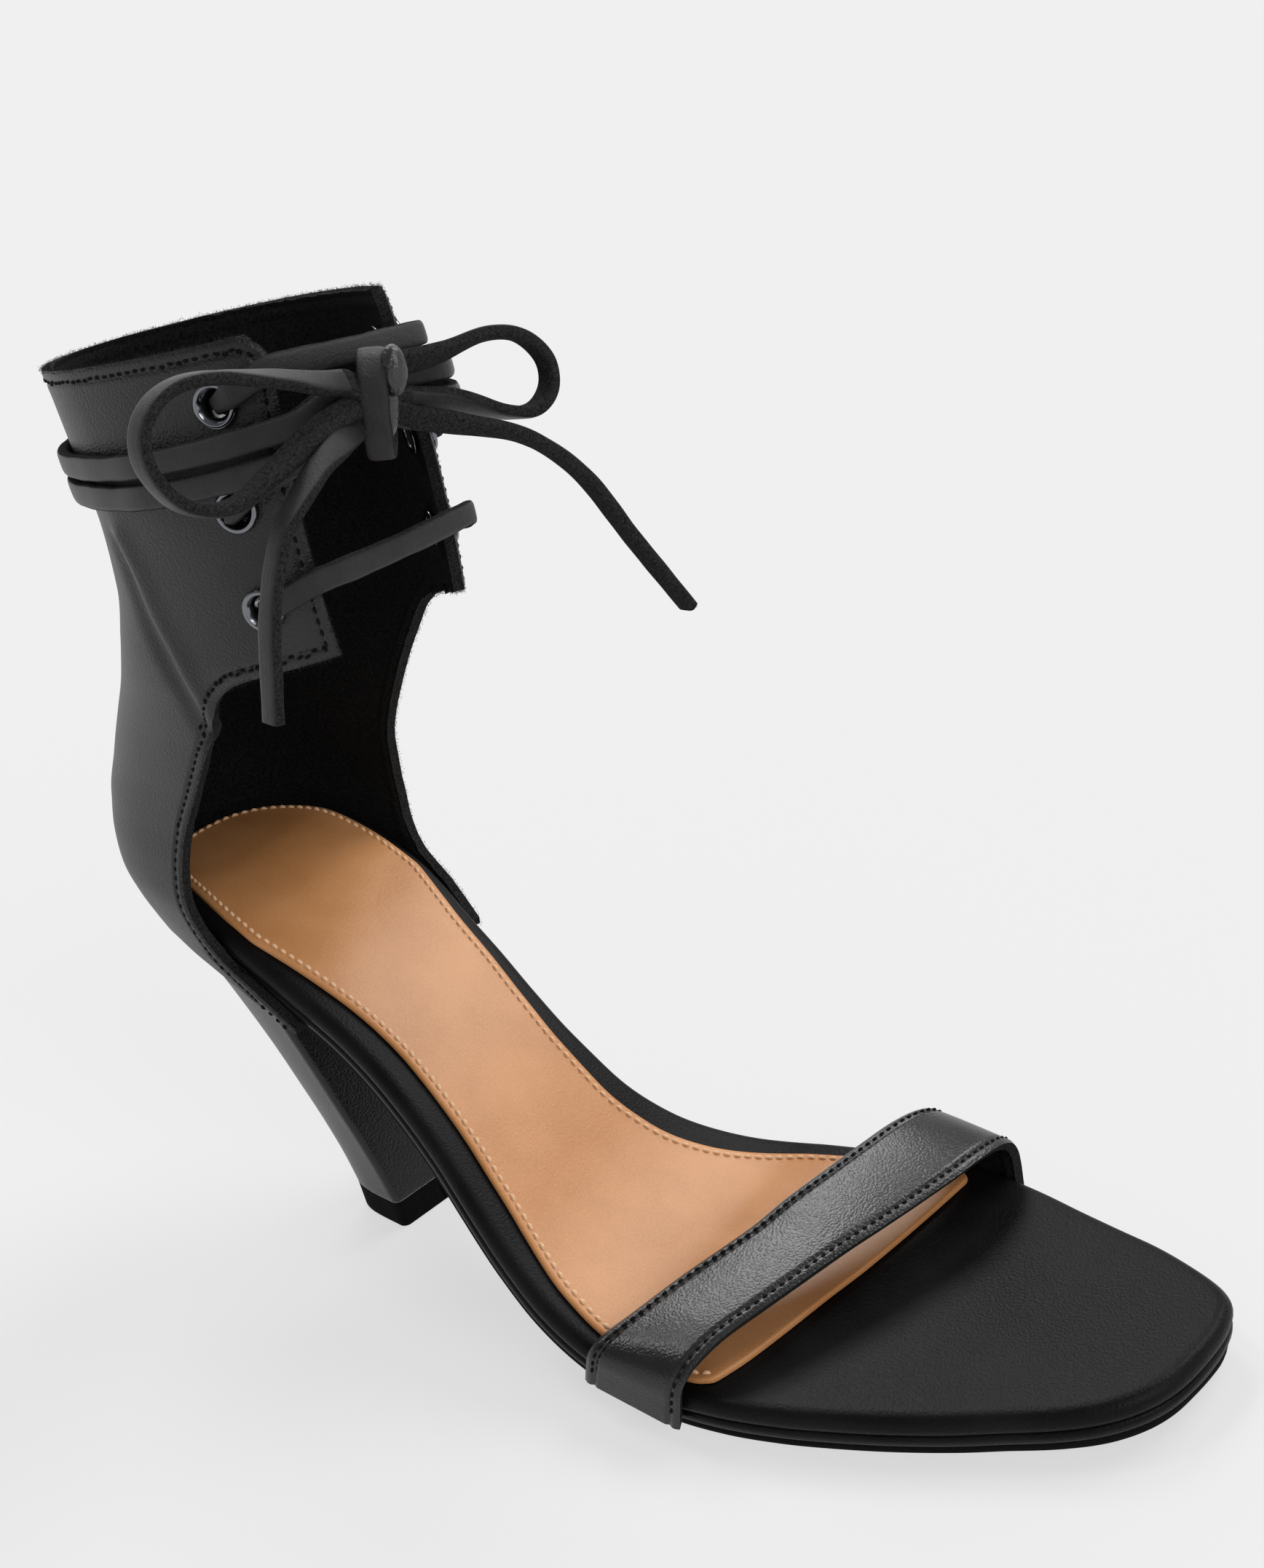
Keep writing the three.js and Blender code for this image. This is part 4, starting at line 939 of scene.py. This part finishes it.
sock_inner = np.stack([ahead * LENGTH - HEEL_REACH, inner_at(ahead) * BALL_WIDTH - inner_margin(ahead)], -1)
front_line = spline([(0.664, -0.466), (0.676, -0.380), (0.688, -0.262), (0.699, -0.140), (0.712, -0.010),
                     (0.723, 0.125), (0.733, 0.262), (0.741, 0.385)], 8)
front_line = front_line * (LENGTH, BALL_WIDTH) - (HEEL_REACH, 0)
middle_of_front = len(front_line) // 2
sock_outer = np.vstack([np.stack(from_heel(u, -v), -1), sock_outer, front_line[:middle_of_front + 1]])
sock_inner = np.vstack([np.stack(from_heel(u, v), -1), sock_inner, front_line[middle_of_front:][::-1]])
sock_loop = closed_outline(sock_outer, sock_inner, rounds=1)
sock = plate("tan_insock", sock_loop, [
    (0.7, -SEAM - SOCK_THICK), (0.3, -SEAM - SOCK_THICK + 0.04), (0.06, -SEAM - SOCK_THICK + 0.26),
    (0, -SEAM - 0.5), (0, -SEAM)], across=40)
smooth(sock, 50)
finish_piece(sock, tan_calf, "tan_leather", "sock")
sewn_sock = shrink(sock_loop, SOCK_STITCH_IN)
front_start, front_end = (int(np.argmin(np.linalg.norm(sock_loop - front_line[k], axis=1)))
                          for k in (0, -1))
around = np.vstack([sewn_sock[front_end:], sewn_sock[:front_start]])
line = on_sole(around[:, 0], around[:, 1], -SEAM - SOCK_THICK)
outs = on_sole(around[:, 0], around[:, 1], -SEAM - SOCK_THICK - 1) - line
stitches("sock_stitches", line, outs, thread_tan, "tan_leather", **SOCK_STITCH)

# %% [markdown]
# ## Heel and top lift
# The heel block tapers in a hollow curve to a small top lift. It is covered with the same leather.

# %% Heel
heel_back, heel_half, heel_full = (follow(HEEL, column) for column in (1, 2, 3))
CORNER = 1.6
LIFT_SEAM = 0.02        # the covered heel stops this far above its top lift


def heel_ring(back, half, full, breast):
    """One closed section: half of the front, a round corner, the side, the back, and home again"""
    middle = breast - TIP_LENGTH * 0.3
    r = CORNER
    turn_at = np.linspace(0, math.pi / 2, 8)[1:]
    front = np.stack([np.full(14, breast), np.linspace(0, half - r, 14)], -1)
    corner = np.stack([breast - r + r * np.cos(turn_at), half - r + r * np.sin(turn_at)], -1)
    side = np.stack([np.linspace(breast - r, middle, 6)[1:], np.full(5, half)], -1)
    u, v = round_back(middle + back, half, full, np.linspace(1, 0, 34)[1:])
    halfway = np.vstack([front, corner, side, np.stack([middle + u, v], -1)])
    mirrored = halfway[1:-1][::-1] * (1, -1)
    return np.vstack([halfway, mirrored])


top_ring = heel_ring(HEEL_REACH * HEEL[0, 1], HEEL_TOP_HALF, HEEL[0, 3], BREAST_TOP)
top_x = from_heel(top_ring[:, 0], top_ring[:, 1])[0]
top_z = height_under(top_x, bed_thick(top_x)) - 2 * SEAM
heel_shares = np.linspace(0, 1, 61)
heel_rings = []
for share in heel_shares:
    breast = BREAST_TOP + (TIP_LENGTH / 2 - BREAST_TOP) * share
    ring = heel_ring(HEEL_REACH * heel_back(share), HEEL_TOP_HALF * heel_half(share), heel_full(share),
                     breast)
    x, y = from_heel(ring[:, 0], ring[:, 1])
    heel_rings.append(np.stack([x, y, top_z + (TIP_HEIGHT + LIFT_SEAM - top_z) * share], -1))
heel_rings = np.array(heel_rings)


def rings_grid(name, rings):
    n = rings.shape[1]

    def place(s, t):
        return rings[np.round(t * (len(rings) - 1)).astype(int), np.round(s * n).astype(int) % n]
    obj = lay(name, n, len(rings) - 1, place)
    edit(obj, weld, close_ends, face_outwards)
    return obj


heel = rings_grid("covered_heel", heel_rings)
modify(heel, "BEVEL", width=0.0004, segments=2, limit_method="ANGLE", angle_limit=math.radians(50))
smooth(heel, 50)
finish_piece(heel, heel_calf, "black_leather", "heel")

lift_rings = []
for back, half_share, shrunk, z in ((heel_back(1.0), heel_half(1.0), 1, TIP_HEIGHT),
                                    (TIP_LENGTH / 2 / HEEL_REACH, TIP_HALF / HEEL_TOP_HALF, 1, 0.5),
                                    (TIP_LENGTH / 2 / HEEL_REACH, TIP_HALF / HEEL_TOP_HALF, 0.97, 0.0)):
    ring = heel_ring(HEEL_REACH * back * shrunk, HEEL_TOP_HALF * half_share * shrunk, heel_full(1.0),
                     TIP_LENGTH / 2)
    x, y = from_heel(ring[:, 0], ring[:, 1])
    lift_rings.append(np.stack([x, y, np.full(len(x), z)], -1))
lift_rings = np.array(lift_rings)
steps = np.linspace(0, 1, 6)[:, None, None]
lift_rings = np.concatenate([lift_rings[0] * (1 - steps) + lift_rings[1] * steps, lift_rings[2:]])
lift = rings_grid("rubber_top_lift", lift_rings)
smooth(lift, 40)
finish_piece(lift, sole_rubber, "sole", "top_lift")

# %% [markdown]
# ## Toe strap
# A single band of leather crosses the toes. Both its long edges are sewn, and the last has rounded
# it, so that its crown catches the light.

# %% Toe strap
# side, back edge, front edge, and their heights as shares of the crown's
STRAP = np.array([
    (-1, 0.556, 0.644, -0.45, -0.45), (-1, 0.561, 0.648, -0.15, -0.15), (-0.997, 0.566, 0.652, 0.10, 0.14),
    (-0.965, 0.570, 0.656, 0.25, 0.33), (-0.90, 0.575, 0.661, 0.36, 0.49), (-0.76, 0.585, 0.671, 0.46, 0.61),
    (-0.52, 0.602, 0.693, 0.60, 0.72), (-0.20, 0.631, 0.720, 0.80, 0.82), (0.00, 0.646, 0.736, 0.92, 0.85),
    (0.22, 0.661, 0.751, 1.00, 0.87), (0.45, 0.675, 0.765, 1.05, 0.89), (0.65, 0.686, 0.773, 1.06, 0.87),
    (0.82, 0.694, 0.777, 0.98, 0.78), (0.93, 0.698, 0.778, 0.82, 0.62), (0.985, 0.700, 0.778, 0.58, 0.40),
    (1, 0.701, 0.778, 0.25, 0.15), (1, 0.701, 0.778, -0.12, -0.15), (1, 0.701, 0.778, -0.45, -0.45)])


def strap_edge(at, rise):
    side = STRAP[:, 0]
    edge = np.where(side < 0, outer_at(at), inner_at(at))
    x = at * LENGTH - HEEL_REACH
    y = side * (edge * BALL_WIDTH + SEAM + STRAP_THICK)
    return resample(spline(np.stack([x, y, top_at(x) + rise * STRAP_RISE], -1), 14), count=221)


strap_back = strap_edge(STRAP[:, 1], STRAP[:, 3])
strap_front = strap_edge(STRAP[:, 2], STRAP[:, 4])


def place_strap(s, t):
    i = np.round(s * 220).astype(int)
    t = t[:, None]
    at = strap_back[i] + (strap_front[i] - strap_back[i]) * t
    bow = 4 * t[:, 0] * (1 - t[:, 0]) * np.clip(np.minimum(s, 1 - s) * 8 - 0.6, 0, 1)
    at[:, 2] += STRAP_BOW * bow
    return at


strap = lay("toe_strap_leather", 220, 64, place_strap)
places = corners_of(strap) / MM
face_side(strap, places - (places[:, 0].mean(), 0, 0))
strap_edges = [place_strap(np.linspace(0, 1, 600), np.full(600, t)) for t in (0.0, 1.0)]
STRAP_STITCH_IN = 2.1
push = 0
for edge in strap_edges:
    from_edge = nearest(places, edge)
    push = push + channel(from_edge, STRAP_STITCH_IN, 0.4, CHANNEL_DEEP) + channel(from_edge, 0, 0.5, 0.4)
move_corners(strap, (places + normals_of(strap) * push[:, None]) * MM)
strap_skin = skin_of(strap)
thicken(strap, STRAP_THICK, strap_calf, "toe_strap")
for name, edge in zip(("back", "front"), strap_edges):
    line, outs = sewn_line(edge[16:-16], strap_skin, STRAP_STITCH_IN)
    stitches(f"strap_stitches_{name}", line, outs, thread_black, "black_leather", **STRAP_STITCH)

# %% [markdown]
# ## The lace
# The lace is one flat leather thong, 4.4 mm wide and 2.3 mm thick. One function sweeps a rounded
# section along a route. The thong's grain side has a soft shine, and its cut sides and flesh side
# are rough, which the material tells apart by how far round the section a place lies.

# %% Thong
def lace_material():
    material, shader = new_material("split_leather_lace")
    uv = node(material, "ShaderNodeUVMap", uv_map="UVMap")
    parts = node(material, "ShaderNodeSeparateXYZ", links={"Vector": (uv, "UV")})
    grain_side = tones(material, parts, "Y", (0.07, "000000"), (0.14, "ffffff"), (0.37, "ffffff"),
                       (0.42, "000000"))
    place = node(material, "ShaderNodeTexCoord")
    nap = noise(material, place, 0.45, 6.0, 0.7)
    cloud = noise(material, place, 5, 3.0)
    nap_tone = tones(material, nap, "Fac", (0.35, "0e0e0e"), (0.7, "3a3a3b"))
    grain_tone = tones(material, cloud, "Fac", (0.3, "060607"), (0.7, "181819"))
    mix = node(material, "ShaderNodeMixRGB", links={
        "Fac": (grain_side, "Color"), "Color1": (nap_tone, "Color"), "Color2": (grain_tone, "Color")})
    plug(material, mix, "Color", shader, "Base Color")
    drive(material, shader, "Roughness", grain_side, "Color", 0.95, 0.36)
    drive(material, shader, "Specular IOR Level", grain_side, "Color", 0.06, 0.42)
    relief(material, shader, nap, "Fac", 0.9, 0.3)
    return material


thong_leather = lace_material()
E_U = np.array([math.cos(HEEL_TURN), -math.sin(HEEL_TURN), 0.0])
E_Z = np.array([0.0, 0.0, 1.0])


def thong(name, line, wides, width=LACE_WIDTH, thick=LACE_THICK, closed=False, sides=20):
    """A rounded strip along a line; wides point across it, and the grain side looks along x wide"""
    line = np.asarray(line, float)
    count = len(line)
    if closed:
        along = unit(np.roll(line, -1, axis=0) - np.roll(line, 1, axis=0))
    else:
        along = unit(np.gradient(line, axis=0))
    wide = np.broadcast_to(wides, line.shape)
    wide = unit(wide - along * np.einsum("ij,ij->i", wide, along)[:, None])
    out = np.cross(along, wide)
    width = np.broadcast_to(width, count)
    run = run_of(line)
    uneven = 1 + 0.025 * np.sin(run / 3.1) + 0.02 * np.sin(run / 1.3 + 2)

    def place(s, t):
        i = np.round(s * (count if closed else count - 1)).astype(int) % count
        turn_at = (t % 1) * 2 * math.pi
        c, n = np.cos(turn_at), np.sin(turn_at)
        x = np.sign(c) * np.abs(c) ** 0.5 * width[i] / 2 * uneven[i]
        y = np.sign(n) * np.abs(n) ** 0.62 * thick / 2
        return line[i] + wide[i] * x[:, None] + out[i] * y[:, None]

    obj = lay(name, count if closed else count - 1, sides, place)
    edit(obj, *([weld, face_outwards] if closed else [weld, close_ends, face_outwards]))
    smooth(obj, 60)
    return obj


def fuzz(name, line, wides):
    """Fibres along both cut sides of a thong"""
    pitch = 0.4
    places = resample(line, pitch=pitch)
    wide = unit(between(np.linspace(0, 1, len(places)), np.linspace(0, 1, len(line)), wides))
    half = LACE_WIDTH / 2 - 0.12
    both = np.vstack([places + wide * half, places - wide * half])
    fibres(name, both, np.vstack([wide, -wide]), per_mm=5, longest=0.7, slot="lace", seed=len(places),
           step=pitch)


# %% [markdown]
# ### Free cords: two loops and two ends of the bow
# Their middle lines run through the same places as the solids' lines.

# %% Bow
CORDS = {
    "lace_loop_outer": [
        (57.5, -7.4, 182.7), (59, -13.3, 184.3), (60.5, -21.8, 187.4), (62, -35.2, 191.3), (61.8, -42.5, 191),
        (61.5, -47.2, 187.2), (61, -47.8, 181.2), (60.5, -43.5, 174.3), (60, -35, 171.2), (59, -24.4, 173.9),
        (58, -15, 177), (57.5, -7.4, 178.3)],
    "lace_loop_inner": [
        (57.5, 4.6, 182.5), (58, 13, 182), (58, 23, 182.4), (58, 30.5, 180.2), (58, 35.1, 175),
        (58, 34.8, 169.9), (58, 30.4, 167.2), (58, 23.5, 168.7), (58, 14, 173.6), (57.5, 4.6, 176.6)],
    "lace_end_outer": [
        (57.5, -7.4, 174.9), (60.6, -13.4, 174.2), (62, -19.2, 172.3), (62.8, -24, 169.4), (63, -29.2, 165.4),
        (63, -33, 159.3), (62.8, -36, 151.9), (62.5, -38, 144), (62, -39.5, 137.1)],
    "lace_end_inner": [
        (57.5, 4.6, 173.4), (59.5, 12.9, 169.8), (61, 24.9, 163.9), (61, 35.7, 153.7), (60, 45.7, 138.1),
        (60, 56.3, 120.9)],
}
CORD_PITCH = 0.8
TWIST = math.radians(62)    # the thong leaves the knot on edge and turns flat along the way
TWIST_LENGTH = 26
knot_ends = []
for name, rows in CORDS.items():
    line = resample(spline(heel_place(rows), 12), pitch=CORD_PITCH)
    run = np.arange(len(line)) * CORD_PITCH
    from_knot = np.minimum(run, run[::-1]) if "loop" in name else run
    lean = TWIST * np.clip(1 - from_knot / TWIST_LENGTH, 0, 1)[:, None]
    away = -1 if "inner" in name else 1
    wide = away * (E_U * np.cos(lean)) - E_Z * np.sin(lean)
    knot_ends.append((line[0], line[0] - line[1], wide[0]))
    if "loop" in name:
        knot_ends.append((line[-1], line[-1] - line[-2], wide[-1]))
    cord = thong(name.replace("lace", "thong"), line, wide)
    fuzz(name.replace("lace", "fuzz"), line, wide)
    finish_piece(cord, thong_leather, "lace", name)
    run = float(run_of(line)[-1])
    print(name, "is", round(run), "mm long")

# %% Knot
# The band that ties the bow stands upright and turns its flat side to the front and outer side
KNOT = heel_place([(57.2, -1.6, 177.5)])[0]
BAND_UP = np.array([0.0, 0.2, 0.98])
BAND_FRONT = np.array([0.59, -0.79, 0.16])
BAND_SIDE = np.cross(BAND_FRONT, BAND_UP)
BAND_HALF_DEEP, BAND_HALF_HIGH = 3.4, 8.1
turn_at = np.linspace(0, 2 * math.pi, 56, endpoint=False)[:, None]
band_line = (KNOT + BAND_FRONT * BAND_HALF_DEEP * np.cos(turn_at)
             + BAND_UP * BAND_HALF_HIGH * np.sin(turn_at))
knot_parts = [thong("knot_band", band_line, BAND_SIDE, width=4.9, thick=2.2, closed=True)]
for end, onward, wide in knot_ends:
    rows = spline([end - onward * 0.4, end + onward * 1.6, KNOT * 0.35 + (end + onward * 3) * 0.65,
                   KNOT * 0.75 + (end + onward * 3) * 0.25], 8)
    knot_parts.append(thong("knot_strand", rows, wide, width=LACE_WIDTH - 0.1, thick=LACE_THICK - 0.1))


def ball(name, centre, halves):
    deselect()
    bpy.ops.mesh.primitive_uv_sphere_add(segments=32, ring_count=20, radius=1)
    obj = bpy.context.object
    obj.name = obj.data.name = name
    c = corners_of(obj)
    move_corners(obj, (centre + BAND_SIDE * c[:, :1] * halves[0] + BAND_FRONT * c[:, 1:2] * halves[1]
                       + BAND_UP * c[:, 2:] * halves[2]) * MM)
    edit(obj, face_outwards)
    smooth(obj)
    return obj


finish_piece(ball("knot_core", KNOT, (3.6, 2.6, 6.6)), thong_grain, "lace")
finish_piece(ball("knot_bulge", KNOT - BAND_SIDE * 3.4 + BAND_UP * 5.2 + BAND_FRONT * 1.8, (2.3, 2.2, 4.2)),
             thong_grain, "lace")
knot = joined("thong_knot", *knot_parts)
finish_piece(knot, thong_leather, "lace", "lace_knot")

# %% [markdown]
# ### Turns round the ankle and crossings through the eyelets
# Both turns lie on the leather at the back and run into the knot in front. A crossing dives into its
# eyelets, where the thong is squeezed narrower.

# %% Turns and crossings
def even(line, outs, pitch):
    """Places and directions at even spacing along the places"""
    both = resample(np.hstack([line, outs * 0.001]), pitch=pitch)
    return both[:, :3], both[:, 3:] * 1000


WRAP_TURN = (-0.84, -0.70, -0.62, -0.55, -0.45, -0.25, 0.00, 0.25, 0.45, 0.55, 0.62, 0.70, 0.84)
WRAP_OFF = (5.2, 4.8, 4.5, 2.6, 0.9, 0.6, 0.6, 0.6, 0.9, 2.6, 4.5, 4.8, 5.4)
WRAP_HIGH = {
    "upper": (0.922, 0.915, 0.912, 0.910, 0.909, 0.908, 0.908, 0.912, 0.914, 0.915, 0.916, 0.918, 0.925),
    "lower": (0.894, 0.887, 0.884, 0.882, 0.881, 0.880, 0.880, 0.884, 0.886, 0.887, 0.888, 0.890, 0.897),
}
WRAP_FRONT_HEIGHT = {"upper": 180.5, "lower": 176.0}
for which, highs in WRAP_HIGH.items():
    table = np.stack([WRAP_TURN, highs, WRAP_OFF], -1)
    high_at, off_at = follow(table, 1), follow(table, 2)
    seats = [upper_seat(float(high_at(at)), abs(at), -1 if at < 0 else 1, float(off_at(at)) + LACE_THICK / 2)
             for at in np.linspace(WRAP_TURN[0], WRAP_TURN[-1], 150)]
    z = WRAP_FRONT_HEIGHT[which]
    first, last = (heel_place(ends) for ends in ([(56, -4, z), (54.5, -8, z)], [(54.5, 3, z), (56, -1, z)]))
    line, outs = even(np.vstack([first, [at for at, out in seats], last]),
                      np.vstack([[E_U, E_U], [out for at, out in seats], [E_U, E_U]]), 1.1)
    for _ in range(4):
        for rows in (line, outs):
            rows[1:-1] = rows[1:-1] * 0.5 + (rows[:-2] + rows[2:]) * 0.25
    wrap = thong(f"thong_wrap_{which}", line, np.cross(outs, np.gradient(line, axis=0)))
    finish_piece(wrap, thong_leather, "lace", f"lace_wrap_{which}")

FLANGE_TOP = 1.5
OVER_EYELET = FLANGE_TOP + SEAM + LACE_THICK / 2
BAR_BOW = 1.2
BELOW_LEATHER = 3.2
SQUEEZE = 0.72
BARS = {"lower": (EYELET_HIGH[0], 0.022, 0.018), "upper": (EYELET_HIGH[2], 0.022, 0.006)}
for which, (base, *rises) in BARS.items():
    halves = []
    for side, side_name, rise in zip((-1, 1), ("outer", "inner"), rises):
        at, out = eyelet_seats[which, side_name]
        seats = [(at - out * BELOW_LEATHER, out), (at - out * 0.6, out)]
        for t in (0.3, 0.5, 0.75, 1.0):
            u = FLAP_EDGE[side] * CUFF_DEPTH - EYELET_SETBACK * (1 - t)
            h = base + rise * t
            off = OVER_EYELET - (0.5 if t < 0.4 else 0)
            seats.append(upper_seat(h, float(share_of(h, u)), side, off))
        halves.append(seats)
    a, b = halves[0][-1], halves[1][-1]
    over = [(a[0] * (1 - t) + b[0] * t + np.array((4 * t * (1 - t) * BAR_BOW, 0, 0)),
             a[1] * (1 - t) + b[1] * t) for t in (0.25, 0.5, 0.75)]
    seats = halves[0] + over + halves[1][::-1]
    line, outs = even(*(spline([seat[k] for seat in seats], 10) for k in (0, 1)), 0.7)
    run = run_of(line)
    from_end = np.minimum(run, run[-1] - run)
    squeeze = SQUEEZE + (1 - SQUEEZE) * np.clip((from_end - 4.5) / 4, 0, 1)
    bar = thong(f"thong_bar_{which}", line, np.cross(outs, np.gradient(line, axis=0)),
                width=LACE_WIDTH * squeeze)
    finish_piece(bar, thong_leather, "lace", f"lace_bar_{which}")

# Leads from the two middle eyelets to the knot
LEAD_WIDTH = 3.4
LEADS = {"outer": [(45.5, -20.5, 168.5), (51.5, -12.5, 172), (56, -5, 175)],
         "inner": [(44, 19.5, 168.5), (51.5, 10.5, 172), (56, 0, 175)]}
for side_name, rows in LEADS.items():
    at, out = eyelet_seats["middle", side_name]
    line = np.vstack([[at - out * 3.0, at, at + out * 2.4], heel_place(rows)])
    line = resample(spline(line, 10), pitch=0.7)
    lead = thong(f"thong_lead_{side_name}", line, E_Z + E_U * 0.3, width=LEAD_WIDTH)
    finish_piece(lead, thong_leather, "lace")

# %% [markdown]
# ## Floor and light
# A pale studio floor runs out to a background of the same tone. Smooth leather shows its light as a
# mirror would, so each soft light stands where the picture has a highlight: one behind for the
# insock, one for the strap's crown, one for the rolled rims, and one in front that reaches the heel
# seat under the cuff.

# %% Floor and light
bpy.context.scene.view_settings.view_transform = "Standard"
deselect()
bpy.ops.mesh.primitive_plane_add(size=40)
floor = bpy.context.object
floor.name = "light_table_top"
paper, _ = new_material("light_table", Base_Color=(0.2, 0.2, 0.2, 1), Roughness=1.0, Specular_IOR_Level=0.0,
                        Emission_Color=(1, 1, 1, 1), Emission_Strength=0.612)
floor.data.materials.append(paper)

# The studio is white all round near the floor and darker overhead, so that the lights stand out
world = bpy.data.worlds.new("studio")
bpy.context.scene.world = world
world.use_nodes = True
sky = world.node_tree.nodes["Background"]
place = node(world, "ShaderNodeTexCoord")
parts = node(world, "ShaderNodeSeparateXYZ", links={"Vector": (place, "Generated")})
plug(world, tones(world, parts, "Z", (0.14, "f0f0f0"), (0.55, "8a8a8a")), "Color", sky, "Color")
sky.inputs["Strength"].default_value = 1.0

# where it stands, strength, and breadth in degrees
SOFTBOXES = {"back_right_softbox": ((0.25, 0.6, 0.76), 1.6, 34),
             "back_left_softbox": ((-0.46, 0.53, 0.71), 0.95, 20),
             "rim_softbox": ((-0.52, 0.05, 0.85), 0.7, 14),
             "front_softbox": ((0.78, -0.25, 0.55), 0.9, 30)}
for name, (towards, power, wide) in SOFTBOXES.items():
    deselect()
    bpy.ops.object.light_add(type="SUN", rotation=Vector(towards).to_track_quat("Z", "Y").to_euler())
    softbox = bpy.context.object
    softbox.name = name
    softbox.data.energy = power
    softbox.data.angle = math.radians(wide)
